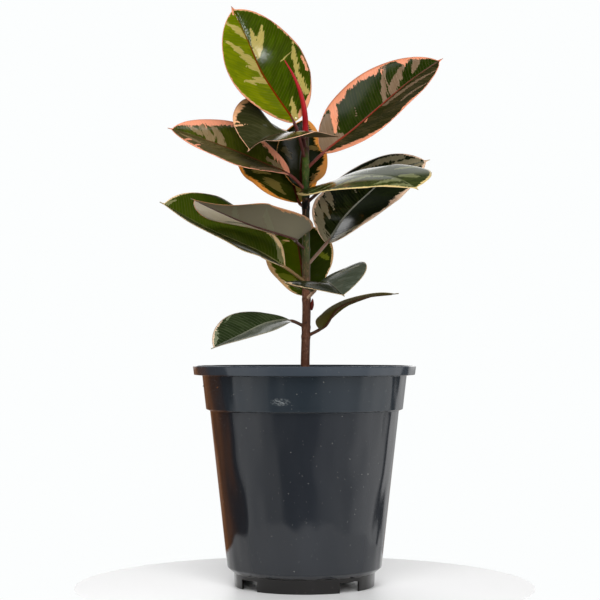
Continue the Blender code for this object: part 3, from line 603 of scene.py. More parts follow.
class Tree:
    """Short calls that add nodes to one tree and join them."""

    def __init__(self, nodes_of):
        self.tree = nodes_of

    def feed(self, node, inputs):
        """Joins values to a node's inputs, and sets those that are plain numbers."""
        for key, value in dict(inputs).items():
            if isinstance(value, Value):
                self.tree.links.new(value.socket, node.inputs[key])
            else:
                node.inputs[key].default_value = value

    def add(self, kind, inputs=(), **settings):
        node = self.tree.nodes.new(kind)
        for key, value in settings.items():
            setattr(node, key, value)
        self.feed(node, inputs)
        return node

    def get(self, kind, inputs=(), output=0, **settings):
        """One output of a new node."""
        return Value(self, self.add(kind, inputs, **settings).outputs[output])

    def outputs_of(self, node):
        """A node's outputs by name."""
        return {socket.name: Value(self, socket) for socket in node.outputs}

    def use(self, group, inputs):
        """All outputs of a node group, placed with its own values."""
        return self.outputs_of(self.add("ShaderNodeGroup", inputs, node_tree=group))

    def math(self, operation, *values):
        return self.get("ShaderNodeMath", enumerate(values), operation=operation)

    def above(self, value, limit, soft):
        """0 below limit and 1 above it, with a soft step of the given width."""
        return self.get("ShaderNodeMapRange", {"Value": value, "From Min": limit, "From Max": limit + soft})

    def mix(self, share, first, second):
        """A colour that goes from the first to the second as share goes from 0 to 1."""
        return self.get("ShaderNodeMix", {0: share, 6: first, 7: second}, 2, data_type="RGBA")

    def coats(self, colour, *coats):
        """A colour with others laid over it, each as (share, colour)."""
        for share, coat in coats:
            colour = self.mix(share, colour, coat)
        return colour

    def ramp(self, share, stops):
        """A colour that runs through (share, colour) stops."""
        node = self.add("ShaderNodeValToRGB", {0: share})
        elements = node.color_ramp.elements
        for spot, colour in stops[1:-1]:
            elements.new(spot)
        for element, (spot, colour) in zip(elements, stops):
            element.position = spot
            element.color = colour
        return Value(self, node.outputs[0])

    def vector(self, x, y, z):
        return self.get("ShaderNodeCombineXYZ", {"X": x, "Y": y, "Z": z})

    def place(self, scale=(1.0, 1.0, 1.0), shift=(0.0, 0.0, 0.0)):
        """A point's place on the object, with its axes stretched."""
        place = self.get("ShaderNodeTexCoord", output="Object")
        return self.get("ShaderNodeMapping", {"Vector": place, "Location": shift, "Scale": scale})

    def axis(self, place, axis):
        return self.get("ShaderNodeSeparateXYZ", {0: place}, axis)

    def noise(self, place, scale, detail, decay=0.5):
        inputs = {"Vector": place, "Scale": scale, "Detail": detail, "Roughness": decay}
        return self.get("ShaderNodeTexNoise", inputs, "Fac")

    def grain(self, scale, detail, decay=0.5, stretch=1.0):
        """The shared grain, placed with its own values."""
        inputs = {"Scale": scale, "Detail": detail, "Decay": decay, "Upright Stretch": stretch}
        return self.use(GRAIN, inputs)["Grain"]

    def bump(self, height, strength, metres, **under):
        inputs = {"Height": height, "Strength": strength, "Distance": metres, **under}
        return self.get("ShaderNodeBump", inputs)


def new_group(name, inputs, outputs):
    """A shader node group with named numbers: the group, its tree, its inputs and its output node."""
    group = bpy.data.node_groups.new(name, "ShaderNodeTree")
    for label, default in inputs.items():
        socket = group.interface.new_socket(label, in_out="INPUT", socket_type="NodeSocketFloat")
        socket.default_value = default
    for label in outputs:
        group.interface.new_socket(label, in_out="OUTPUT", socket_type="NodeSocketFloat")
    tree = Tree(group)
    return group, tree, tree.outputs_of(tree.add("NodeGroupInput")), tree.add("NodeGroupOutput")


def new_material(name):
    material = bpy.data.materials.new(name)
    material.use_nodes = True
    return material, Tree(material.node_tree), material.node_tree.nodes["Principled BSDF"]


def shared_grain():
    """Cloudy grain fixed to the object, with its upright axis stretched or squeezed."""
    inputs = {"Scale": 500.0, "Detail": 3.0, "Decay": 0.5, "Upright Stretch": 1.0}
    group, tree, given, made = new_group("grain", inputs, ["Grain"])
    place = tree.place(tree.vector(1.0, 1.0, given["Upright Stretch"]))
    tree.feed(made, {"Grain": tree.noise(place, given["Scale"], given["Detail"], given["Decay"])})
    return group


def leaf_markings():
    """Masks of a variegated blade: its pale margin, patches, side veins, midrib and rim."""
    inputs = {"Vein": 0.0, "Across": 0.0, "Edge": 10.0, "Margin Reach": 2.0, "Patch Field": -1.0}
    inputs.update({"Spot Field": -1.0, "Along": 0.5, "Tooth": TOOTH_WIDTH})
    inputs.update({"Vein Spacing": VEIN_SPACING, "Seed": 0.0})
    masks = ("Margin", "Patch", "Veins", "Rib", "Rim", "Mottle", "Streaks")
    group, tree, given, made = new_group("leaf markings", inputs, masks)
    vein, across, edge, reach = (given[name] for name in ("Vein", "Across", "Edge", "Margin Reach"))
    # The seed moves the patterns apart, leaf by leaf and half by half.
    seed = tree.math("MULTIPLY_ADD", given["Seed"], 13.7, tree.math("SIGN", across) * 3.7)
    stripe = tree.math("FLOOR", vein / given["Tooth"])
    number = tree.math("MULTIPLY_ADD", seed, 31.0, stripe)
    tooth = tree.get("ShaderNodeTexWhiteNoise", {"W": number}, "Value", noise_dimensions="1D")

    def grain(along, sideways, shift, detail):
        """Cloudy noise drawn out from the midrib towards the margin."""
        return tree.noise(tree.vector(vein * along, across * sideways, seed + shift), 1.0, detail, 0.6)

    swell = grain(0.12, 0.05, 0.0, 2.0)
    ragged = grain(0.75, 0.22, 3.1, 3.0)
    fingers = grain(0.42, 0.08, 5.3, 2.0)
    zones = grain(0.2, 0.07, 9.1, 3.0)
    streaks = grain(1.1, 0.06, 7.7, 2.0)
    tear = (tooth - 0.5) + (ragged * 4.0 - 2.0)
    jag = tear * tree.math("MINIMUM", reach * 0.5, LONGEST_TOOTH)
    depth = reach * (swell * 0.8 + 0.6) + jag - edge
    fringe = tree.above(ragged * 1.5 + depth, 0.0, 0.3) * 0.7 * tree.above(reach, 1.5, 1.0)
    patch = tear * 0.3 + ((fingers - 0.5) * 2.6 + given["Patch Field"])
    spot = tree.above(tear * 0.5 + given["Spot Field"], 0.0, 0.05)
    ridge = abs(tree.math("FRACT", vein / given["Vein Spacing"]) - 0.5)
    rib = given["Along"] * 0.85 + (abs(across) - 1.25)
    tree.feed(made, {
        "Margin": tree.math("MAXIMUM", tree.above(depth, 0.0, 0.15), spot),
        "Patch": tree.math("MAXIMUM", tree.above(patch, 0.0, 0.06), fringe),
        "Veins": tree.above(ridge, 0.38, 0.12),
        "Rib": 1.0 - tree.above(rib, 0.0, 0.35),
        "Rim": 1.0 - tree.above(edge, 0.3, 0.3),
        "Mottle": tree.above(zones, 0.5, 0.04) * 0.6 + tree.above(swell, 0.35, 0.3) * 0.4,
        "Streaks": tree.above(streaks, 0.45, 0.2),
    })
    return group


def leaf_relief():
    """Height of a blade's fine surface, in metres: side veins, small veins and pores."""
    inputs = {"Vein": 0.0, "Across": 0.0, "Veins": 0.0, "Depth": RELIEF_METRES}
    group, tree, given, made = new_group("leaf relief", inputs, ["Height", "Gloss Loss"])
    cells = tree.noise(tree.vector(given["Vein"], given["Across"] * 0.45, 0.0), 1.3, 3.0, 0.6)
    height = (cells * 0.7 - given["Veins"]) * given["Depth"]
    tree.feed(made, {"Height": height, "Gloss Loss": (cells - 0.5) * 0.2})
    return group


GRAIN = shared_grain()
MARKINGS = leaf_markings()
RELIEF = leaf_relief()


def leaf_material(leaf, seed):
    """A glossy variegated blade that lets light through, with a paler, duller underside."""
    material, tree, skin = new_material(leaf.name + "_blade")

    def stored(name):
        """A value that the blade's mesh holds."""
        return tree.get("ShaderNodeAttribute", output="Fac", attribute_name=name)

    def halves(pair):
        """The left or the right colour of a pair."""
        return tree.mix(right, screen(pair[0]), screen(pair[1]))

    names = ("Vein", "Across", "Edge", "Margin Reach", "Patch Field", "Spot Field", "Along")
    given = {name: stored(name) for name in names}
    upper = stored("Upper")
    right = tree.math("GREATER_THAN", given["Across"], 0.0)
    marks = tree.use(MARKINGS, {**given, "Seed": seed})
    streaks = marks["Streaks"]
    # On some leaves the core colours of a half hold painted sheen or painted backlight, and on one the
    # underside holds a painted highlight.
    core = tree.mix(marks["Mottle"] * (streaks * 0.5 + 0.5), halves(leaf.core), halves(leaf.core_light))
    patch = tree.mix(streaks, screen(leaf.patch), screen(leaf.patch, STREAK_LIFT))
    colour = tree.coats(
        core,
        (marks["Patch"], patch),
        (marks["Margin"], tree.mix(streaks * 0.25, screen(leaf.pale), patch)),
        (marks["Veins"] * leaf.veins, screen(leaf.patch)),
        (marks["Rim"] * RIM_COVER, screen(leaf.rim)),
        (marks["Rib"] * (1.0 - tree.above(given["Along"], 0.5, 0.3) * 0.6), screen(leaf.rib_colour)),
    )
    glow = tree.coats(
        halves(leaf.glow),
        (marks["Patch"], screen(leaf.patch, GLOW_LIFT)),
        (marks["Margin"], screen(leaf.glow_pale)),
        (marks["Rib"], screen(leaf.rib_colour)),
    )
    fine = tree.use(RELIEF, {"Vein": given["Vein"], "Across": given["Across"], "Veins": marks["Veins"]})
    bump = tree.bump(fine["Height"], 1.0, 1.0)
    tree.feed(skin, {
        "Base Color": tree.mix(upper, tree.mix(UNDERSIDE_COVER, colour, halves(leaf.under)), colour),
        "Roughness": upper * (leaf.rough - UNDERSIDE_ROUGH) + UNDERSIDE_ROUGH + fine["Gloss Loss"],
        "Normal": bump,
        "IOR": 1.45,
        "Specular IOR Level": 0.35,
    })
    through = tree.get("ShaderNodeBsdfTranslucent", {"Color": glow, "Normal": bump})
    front = Value(tree, skin.outputs[0])
    both = tree.get("ShaderNodeMixShader", {0: leaf.glow_share, 1: front, 2: through})
    tree.feed(material.node_tree.nodes["Material Output"], {"Surface": both})
    return material


def grained_skin(name, dark, light, grain, rough, relief):
    """A skin whose colour, roughness and relief follow one grain.

    grain holds the values of the shared grain, rough the least roughness and how much
    the grain adds to it, and relief the bump's strength and its depth in metres.
    """
    material, tree, skin = new_material(name)
    speck = tree.grain(*grain)
    least, more = rough
    tree.feed(skin, {
        "Base Color": tree.mix(speck, dark, light),
        "Roughness": speck * more + least if more else least,
        "Normal": tree.bump(speck, *relief),
    })
    return material


def petiole_skin(leaf):
    """The smooth, fleshy skin of a leaf stalk and midrib."""
    dark, light = screen(leaf.petiole), screen(leaf.petiole, STALK_LIFT)
    looks = {"grain": (900.0, 3.0), "rough": (0.25, 0.25), "relief": (0.4, 0.0003)}
    return grained_skin(leaf.name + "_stalk", dark, light, **looks)


def red_skin(name, dark, light):
    """Smooth red skin with fine lengthwise streaks."""
    looks = {"grain": (1100.0, 3.0, 0.5, 0.12), "rough": (0.28, 0.2), "relief": (0.5, 0.0003)}
    return grained_skin(name, screen(dark), screen(light), **looks)


def crumb_skin(name, dark, light, scale):
    """Dry, dull crumbs."""
    looks = {"grain": (scale, 4.0, 0.65), "rough": (0.85, 0), "relief": (0.5, 0.0006)}
    return grained_skin(name, screen(dark), screen(light), **looks)


def soil_skin():
    """Dark, damp, lumpy mix."""
    looks = {"grain": (160.0, 5.0, 0.7), "rough": (0.92, 0), "relief": (0.8, 0.002)}
    return grained_skin("potting_mix", screen((30, 20, 14)), screen((86, 60, 42)), **looks)


def stem_skin():
    """Young bark: brown and flecked below, green above and darker at the top, with pale pores, and a
    near-black band of painted shade under the leaves.
    """
    material, tree, skin = new_material("stem_bark")
    low, high = BARK_PLACES
    height = tree.axis(tree.place(), "Z") + (tree.grain(60.0, 3.0) - 0.5) * 0.05
    # The ramp holds a near-black band of painted shade where the leaves shadow the stem.
    bark_and_shade = tree.ramp(tree.above(height, low, high - low), [(spot, screen(colour)) for spot, colour in BARK_AND_LEAF_SHADE])
    fleck = tree.grain(700.0, 4.0, 0.7, 0.35)
    colour = tree.coats(
        bark_and_shade,
        (tree.above(fleck, 0.56, 0.06) * 0.5, screen((150, 112, 88))),
        (tree.above(tree.grain(260.0, 3.0), 0.55, 0.1) * 0.6, screen((46, 26, 20))),
    )
    bump = tree.bump(fleck, 0.6, 0.0006)
    tree.feed(skin, {"Base Color": colour, "Roughness": fleck * 0.3 + 0.35, "Normal": bump})
    return material


def scuff_mask(tree):
    """A faint cloud of dusty scratches on the front of the collar."""
    spread = tree.place(SCUFF_SCALE, SCUFF_SHIFT)
    away = tree.get("ShaderNodeVectorMath", {0: spread}, "Value", operation="LENGTH")
    front = tree.math("LESS_THAN", tree.axis(tree.place(), "Y"), 0.0)
    scratch = tree.noise(tree.place((0.5, 1.0, 1.5)), 900.0, 4.0, 0.75)
    return tree.above(scratch, 0.5, 0.08) * (1.0 - tree.above(away, 0.1, 0.45)) * front * 0.9


def pot_skin():
    """Charcoal moulded plastic: flow marks, specks of dust and a scuff, with its foot ring painted near
    black as painted shade.
    """
    material, tree, skin = new_material("pot_plastic")
    height = tree.axis(tree.place(), "Z")
    flow = tree.grain(22.0, 3.0, 0.5, 0.2)
    dust = tree.above(tree.grain(480.0, 2.0, 0.8), 0.73, 0.015) * 0.9
    scuff = scuff_mask(tree)
    collar = tree.above(height, (BODY_TOP_HEIGHT - WALL / 2) * MM, 0.002)
    rim = tree.above(height, (POT_HEIGHT - RIM_BAND) * MM - 0.0004, 0.0015)
    # The foot ring under the body is painted near black: painted shade.
    foot = 1.0 - tree.above(height, FOOT_TOP_HEIGHT * MM + 0.0012, 0.002)
    colour = tree.coats(
        tree.mix(flow, screen((33, 36, 40)), screen((42, 45, 50))),
        (collar, tree.mix(flow, screen((34, 40, 45)), screen((46, 52, 58)))),
        (rim, screen((57, 63, 70))),
        # Painted shade on the foot ring.
        (foot, screen((18, 15, 14))),
        (dust, screen((150, 150, 145))),
        (scuff, screen((140, 145, 146))),
    )
    slump = tree.bump(tree.grain(32.0, 1.0, 0.5, 0.4), 0.6, 0.007)
    tree.feed(skin, {
        "Base Color": colour,
        "Roughness": flow * 0.1 + 0.03 + tree.math("MAXIMUM", dust, scuff) * 0.4,
        "Normal": tree.bump(tree.grain(1400.0, 2.0), 0.12, 0.0002, Normal=slump),
    })
    return material


def spline(points):
    """A smooth curve through points: its places at an array of lengths, and each point's length."""
    points = np.array(points, dtype=float)
    steps = np.linalg.norm(np.diff(points, axis=0), axis=1)
    knots = np.concatenate(([0.0], np.cumsum(steps)))
    chords = np.diff(points, axis=0) / steps[:, None]
    share = (steps[:-1] / (steps[:-1] + steps[1:]))[:, None]
    slopes = np.vstack((chords[:1], chords[:-1] + (chords[1:] - chords[:-1]) * share, chords[-1:]))

    def place(lengths):
        lengths = np.asarray(lengths, dtype=float)
        index = np.clip(np.searchsorted(knots, lengths) - 1, 0, len(steps) - 1)
        span = steps[index][:, None]
        t = (lengths - knots[index])[:, None] / span
        near = (2 * t**3 - 3 * t**2 + 1) * points[index] + (t**3 - 2 * t**2 + t) * span * slopes[index]
        far = (3 * t**2 - 2 * t**3) * points[index + 1] + (t**3 - t**2) * span * slopes[index + 1]
        return near + far

    return place, knots


def unit(vectors):
    """Vectors of the same ways with a length of 1."""
    return vectors / np.linalg.norm(vectors, axis=-1, keepdims=True)


def blade_half_width(leaf, side, u):
    """Reach of one side at shares u of the length: a blunt body that flows into a drip tip."""
    skew = math.log(0.5) / math.log(leaf.widest[side] / BODY_END)
    body = np.clip(u / BODY_END, 0.0, 1.0) ** skew
    wide = leaf.half_widths[side] * np.clip(np.sin(np.pi * body), 0.0, 1.0) ** BLUNTNESS
    left = np.clip((1 - u) / (1 - DRIP_TIP_START), 0.0, 1.0)
    tip = DRIP_TIP_WIDTH_SHARE * leaf.half_widths[side] * left**DRIP_TIP_TAPER
    return np.maximum((wide**4 + np.where(u > DRIP_TIP_START, tip, 0.0) ** 4) ** 0.25, LEAST_HALF_WIDTH)


def blade_rise(leaf, side, u):
    """How far one half rises from the midrib at shares u of the length, in radians."""
    foot, middle, tip = leaf.rise[side]
    return np.radians(foot * (1 - u) ** 2 + 2 * middle * u * (1 - u) + tip * u**2)


def margin_reach(leaf, side, u):
    """How far the pale margin reaches in at shares u of the length."""
    return np.interp(u, *zip(*leaf.margin[side]))


def stroke_field(leaf, strokes, length, u, across):
    """How deep each point lies in the nearest stroke: 1 on its middle line, 0 on its edge."""
    field = np.full(across.shape, -1.0)
    for u1, v1, u2, v2, thickness in strokes:
        x1, x2 = length * u1, length * u2
        y1 = v1 * float(blade_half_width(leaf, int(v1 > 0), np.array(u1)))
        y2 = v2 * float(blade_half_width(leaf, int(v2 > 0), np.array(u2)))
        run = (x2 - x1) ** 2 + (y2 - y1) ** 2
        share = np.clip(((length * u - x1) * (x2 - x1) + (across - y1) * (y2 - y1)) / run, 0, 1)
        away = np.hypot(length * u - x1 - share * (x2 - x1), across - y1 - share * (y2 - y1))
        depth = 1.0 - away / (thickness * np.minimum(1.0, STROKE_POINT + STROKE_SWELL * share))
        field = np.where(across * (y1 + y2) > 0, np.maximum(field, depth), field)
    return field


def blade_frame(leaf, place, start, length, u):
    """Places on the midrib, the ways to its right and the ways out of the upper face."""
    step = 0.01 * length
    ahead = place(np.minimum(start + length * u + step, start + length))
    behind = place(np.maximum(start + length * u - step, start))
    along = unit(ahead - behind)
    face = np.array(leaf.face_foot) + u[:, None] * (np.array(leaf.face_tip) - np.array(leaf.face_foot))
    right = unit(np.cross(along, face))
    return place(start + length * u), right, np.cross(right, along)


def blade_grid(leaf, place, start, length):
    """The blade's middle surface as rows of points, with what its markings need.

    Vein is where the side vein through a point leaves the midrib, from the blade's foot.
    """
    share = np.linspace(0, 1, BLADE_ROWS + 1)
    u = share - ROW_CROWDING * np.sin(math.tau * share) / math.tau
    here, right, up = (part[:, None, :] for part in blade_frame(leaf, place, start, length, u))
    u = u[:, None]
    w = np.linspace(-1, 1, 2 * HALF_BLADE_CELLS + 1)[None, :]
    v = np.sign(w) * np.abs(w) ** CELL_CROWDING
    rules = (blade_half_width, blade_rise, margin_reach)
    half, rise, margin = (np.where(v > 0, rule(leaf, 1, u), rule(leaf, 0, u)) for rule in rules)
    far = np.abs(v)
    reach = far * half
    across = np.sign(v) * reach
    phase = math.tau * WAVES_ALONG * u + WAVE_LAG * (v > 0)
    swing = np.sin(np.pi * u)
    lift = np.sqrt(reach**2 + 1.0) * np.sin(rise) - np.sin(rise)
    lift = lift + leaf.wave * far**2 * np.sin(phase) * swing
    lift = lift + CUPPING * np.sin(np.pi * far) * swing - MARGIN_CURL * far**CURL_SHARPNESS * swing
    points = here + right * (across * np.cos(rise))[:, :, None] + up * lift[:, :, None]
    marks = {
        "Vein": length * u - VEIN_LEAN * reach - VEIN_CURVE * reach**2,
        "Across": across,
        "Edge": half - reach,
        "Margin Reach": margin,
        "Patch Field": stroke_field(leaf, leaf.patches, length, u, across),
        "Spot Field": stroke_field(leaf, leaf.spots, length, u, across),
        "Along": u,
    }
    return points, far, marks


def blade_mesh(leaf, place, start, length):
    """The blade as one closed, thin body: upper face, underside and margin."""
    points, far, marks = blade_grid(leaf, place, start, length)
    normals = unit(np.cross(np.gradient(points, axis=1), np.gradient(points, axis=0)) + 1e-9)
    thick = RIB_THICKNESS + (MARGIN_THICKNESS - RIB_THICKNESS) * far**THINNING
    across = np.abs(marks["Across"])
    fade = np.clip(across / QUILT_FADE, 0, 1) * np.clip(marks["Edge"] / QUILT_FADE, 0, 1)
    quilt = np.cos(math.tau * marks["Vein"] / VEIN_SPACING) * QUILT_HEIGHT * fade
    groove = -GROOVE_DEPTH * np.exp(-((across - GROOVE_PLACE) ** 2) / GROOVE_SPREAD)
    top = points + normals * (thick / 2 + quilt + groove)[:, :, None]
    low = points - normals * (thick / 2 - quilt)[:, :, None]
    rows, columns = points.shape[:2]
    count = rows * columns
    index = np.arange(count).reshape(rows, columns)
    a, b, c, d = (part.ravel() for part in (index[:-1, :-1], index[:-1, 1:], index[1:, 1:], index[1:, :-1]))
    loop = np.concatenate((index[0, :-1], index[:-1, -1], index[-1, :0:-1], index[:0:-1, 0]))
    after = np.roll(loop, -1)
    walls = np.stack((loop, loop + count, after + count, after), 1)
    faces = np.concatenate((np.stack((a, b, c, d), 1), np.stack((a, d, c, b), 1) + count, walls))
    mesh = smooth_mesh(leaf.name, np.stack((top, low)), faces.tolist())
    layers = {name: (values, values) for name, values in marks.items()}
    layers["Upper"] = (1.0, 0.0)
    for name, sides in layers.items():
        flat = [np.broadcast_to(values, (rows, columns)).ravel() for values in sides]
        layer = mesh.attributes.new(name, "FLOAT", "POINT")
        layer.data.foreach_set("value", np.concatenate(flat).astype(np.float32))
    return mesh


def tube_mesh(name, places, radii, sides=14):
    """A closed round tube of changing radius through an array of places."""
    along = unit(np.gradient(places, axis=0))
    across = unit(np.cross(along, np.array(SLANT)))
    other = np.cross(along, across)
    turns = np.linspace(0, math.tau, sides, endpoint=False)[None, :, None]
    ring = across[:, None, :] * np.cos(turns) + other[:, None, :] * np.sin(turns)
    verts = places[:, None, :] + ring * radii[:, None, None]
    index = np.arange(len(places) * sides).reshape(-1, sides)
    after = np.roll(index, -1, axis=1)
    faces = np.stack((index[:-1], after[:-1], after[1:], index[1:]), -1).reshape(-1, 4).tolist()
    return smooth_mesh(name, verts, [*faces, index[0, ::-1].tolist(), index[-1].tolist()])


def stem_place(heights):
    """Places on the stem's axis."""
    x, y, z = np.array(STEM_AXIS, dtype=float).T
    return np.stack([np.interp(heights, z, x), 0 * heights, heights], -1)


def make_leaf(leaf, number):
    """One leaf: its blade, with the stalk and midrib as a tube that runs on under it."""
    place, knots = spline((stem_place(leaf.node), *leaf.rib))
    start = knots[1]
    length = knots[-1] - start
    mesh = blade_mesh(leaf, place, start, length)
    blade = add_object(leaf.name + "_look", mesh, leaf_material(leaf, float(number)))
    share = np.linspace(STALK_START, 1, STALK_ROWS)[:-1]
    flare = PETIOLE_FLARE * np.exp(-(share * start / PETIOLE_FLARE_REACH) ** 2)
    u = np.linspace(0, RIB_END, RIB_ROWS)
    here, right, up = blade_frame(leaf, place, start, length, u)
    taper = RIB_BASE_RADIUS + (RIB_TIP_RADIUS - RIB_BASE_RADIUS) * u**RIB_TAPER
    sink = (taper - RIB_PROUD) * np.clip(u / RIB_RUN_IN, 0, 1)
    places = np.concatenate((place(start * share), here - up * sink[:, None]))
    radii = np.concatenate((PETIOLE_RADIUS + flare, taper))
    stalk = add_object(leaf.name + "_stalk", tube_mesh("stalk", places, radii), petiole_skin(leaf))
    dress(join_meshes(leaf.name + "_look", [blade, stalk]), leaf.name)


def side_bud():
    """The small pointed bud on the side of the stem."""
    shape = bmesh.new()
    bmesh.ops.create_uvsphere(shape, u_segments=20, v_segments=14, radius=1.0)
    turn = Matrix.Rotation(math.radians(SIDE_BUD_LEAN), 4, "Y")
    wide, deep, tall = SIDE_BUD_SIZE
    for vert in shape.verts:
        narrow = 1.0 - SIDE_BUD_TAPER * max(0.0, vert.co.z)
        size = Vector((wide * narrow, deep * narrow, tall))
        vert.co = (turn @ (vert.co * size) + Vector(SIDE_BUD_PLACE)) * MM
    mesh = mesh_from(shape, "side_bud")
    mesh.shade_smooth()
    return add_object("side_bud", mesh, red_skin("side_bud_skin", (84, 26, 22), (120, 44, 34)))


def make_stem():
    """The stem with a swollen ring at each leaf, and its small side bud."""
    heights = np.linspace(STEM_AXIS[0][2], STEM_AXIS[-1][2], STEM_ROWS)
    share = (heights - heights[0]) / (heights[-1] - heights[0])
    radii = STEM_FOOT_RADIUS + share * (STEM_TOP_RADIUS - STEM_FOOT_RADIUS)
    for leaf in LEAVES:
        away = heights - leaf.node
        radii += RING_SWELL * np.exp(-(away / RING_REACH) ** 2)
        radii -= SCAR_DEPTH * np.exp(-((away - SCAR_RISE) / SCAR_REACH) ** 2)
    stem = add_object("stem_look", tube_mesh("stem", stem_place(heights), radii, sides=28), stem_skin())
    dress(join_meshes("stem_look", [stem, side_bud()]), "stem")


def make_sheath():
    """The red sheath of the next leaf, a curved horn on the tip of the stem."""
    place, knots = spline(SHEATH_ROUTE)
    lengths = np.linspace(0, knots[-1], SHEATH_ROWS)
    mesh = tube_mesh("sheath", place(lengths), np.interp(lengths, knots, SHEATH_RADII), sides=20)
    sheath = add_object("bud_sheath_look", mesh, red_skin("sheath_skin", (132, 18, 30), (184, 42, 46)))
    dress(sheath, "bud_sheath")


def rounded(corners, arc_steps=4):
    """Corners as (radius, height, fillet), with each fillet drawn as a short arc."""
    line = []
    for index, (radius, height, fillet) in enumerate(corners):
        here = Vector((radius, height))
        if fillet == 0:
            line.append(here)
            continue
        before = (Vector(corners[index - 1][:2]) - here).normalized()
        after = (Vector(corners[index + 1][:2]) - here).normalized()
        half_angle = before.angle(after) / 2
        centre = here + (before + after).normalized() * fillet / math.sin(half_angle)
        touch = fillet / math.tan(half_angle)
        start = here + before * touch - centre
        turn = start.angle_signed(here + after * touch - centre)
        for step in range(arc_steps + 1):
            line.append(centre + Matrix.Rotation(-turn * step / arc_steps, 2) @ start)
    return line


def pot_corners():
    """The pot's section, from the middle of its floor up the inside and down the outside."""
    floor = FLOOR_UNDERSIDE + FLOOR_THICKNESS
    rim_foot = POT_HEIGHT - RIM_BAND
    ledge = rim_foot + WALL
    return [
        (0.0, floor, 0),
        (FOOT_RADIUS - WALL - 0.3, floor, 0),
        (BODY_FOOT_RADIUS - WALL, BODY_FOOT_HEIGHT + WALL / 2, 0),
        (BODY_TOP_RADIUS - WALL, BODY_TOP_HEIGHT + WALL / 2, 0.6),
        (COLLAR_FOOT_RADIUS - WALL, COLLAR_FOOT_HEIGHT + WALL, 0.6),
        (COLLAR_TOP_RADIUS - WALL, ledge - WALL / 2, 0.5),
        (RIM_RADIUS - RIM_DRAFT - WALL, ledge, 0.6),
        (RIM_RADIUS - WALL, POT_HEIGHT, 0.5),
        (RIM_RADIUS, POT_HEIGHT, 0.9),
        (RIM_RADIUS - RIM_DRAFT, rim_foot, 0.7),
        (COLLAR_TOP_RADIUS, rim_foot - WALL / 2, 0.3),
        (COLLAR_FOOT_RADIUS, COLLAR_FOOT_HEIGHT, 1.2),
        (BODY_TOP_RADIUS, BODY_TOP_HEIGHT, 0.4),
        (BODY_FOOT_RADIUS, BODY_FOOT_HEIGHT, 3.0),
        (FOOT_TOP_RADIUS, FOOT_TOP_HEIGHT, 0.5),
        (FOOT_RADIUS, 0.0, 0.4),
        (FOOT_RADIUS - WALL, 0.0, 0.4),
        (FOOT_RADIUS - WALL, FLOOR_UNDERSIDE, 0.5),
        (0.0, FLOOR_UNDERSIDE, 0),
    ]


def foot_gap(angle):
    """The block that cuts one gap into the foot ring."""
    shape = bmesh.new()
    bmesh.ops.create_cube(shape, size=1.0)
    turn = Matrix.Rotation(math.radians(angle), 4, "Z")
    move = Matrix.Translation((0, (WALL / 2 - FOOT_RADIUS) * MM, 0))
    size = Matrix.Diagonal((FOOT_GAP_WIDTH * MM, 4 * WALL * MM, 2 * FOOT_GAP_HEIGHT * MM, 1.0))
    bmesh.ops.transform(shape, matrix=turn @ move @ size, verts=shape.verts)
    return shape


def drain_hole(number):
    """The rod that cuts one drainage hole into the floor."""
    shape = bmesh.new()
    radius = DRAIN_HOLE_RADIUS * MM
    depth = 4 * FLOOR_THICKNESS * MM
    bmesh.ops.create_cone(shape, cap_ends=True, segments=32, radius1=radius, radius2=radius, depth=depth)
    turn = math.tau * (number + 0.5) / DRAIN_HOLES
    middle = FLOOR_UNDERSIDE + FLOOR_THICKNESS / 2
    move = Vector((DRAIN_RING_RADIUS * math.sin(turn), -DRAIN_RING_RADIUS * math.cos(turn), middle)) * MM
    bmesh.ops.translate(shape, verts=shape.verts, vec=move)
    return shape


def turned(name, line, steps, material):
    """A solid of revolution from a line of (radius, height) points."""
    mesh = bpy.data.meshes.new(name)
    points = [(point.x * MM, 0, point.y * MM) for point in line]
    mesh.from_pydata(points, [(step, step + 1) for step in range(len(line) - 1)], [])
    thing = add_object(name, mesh, material)
    screw = thing.modifiers.new("turn", "SCREW")
    screw.angle = math.tau
    screw.steps = steps
    screw.render_steps = steps
    screw.use_merge_vertices = True
    screw.merge_threshold = 0.00001
    screw.use_smooth_shade = True
    return thing


def make_pot():
    """The pot, turned from its section, with gaps in its foot ring and holes in its floor."""
    pot = turned("pot_look", rounded(pot_corners()), POT_STEPS, pot_skin())
    cutters = bpy.data.collections.new("pot_cutters")
    holes = [drain_hole(number) for number in range(DRAIN_HOLES)]
    for shape in [foot_gap(angle) for angle in FOOT_GAP_ANGLES] + holes:
        cutters.objects.link(bpy.data.objects.new("pot_cutter", mesh_from(shape, "pot_cutter")))
    cut = pot.modifiers.new("cut", "BOOLEAN")
    cut.operation = "DIFFERENCE"
    cut.operand_type = "COLLECTION"
    cut.collection = cutters
    cut.solver = "EXACT"
    make_plain(pot)
    shape = bmesh.new()
    shape.from_mesh(pot.data)
    bmesh.ops.recalc_face_normals(shape, faces=shape.faces)
    shape.to_mesh(pot.data)
    shape.free()
    pot.data.shade_smooth()
    pot.data.set_sharp_from_angle(angle=math.radians(SHARP_EDGE))
    dress(pot, "pot")


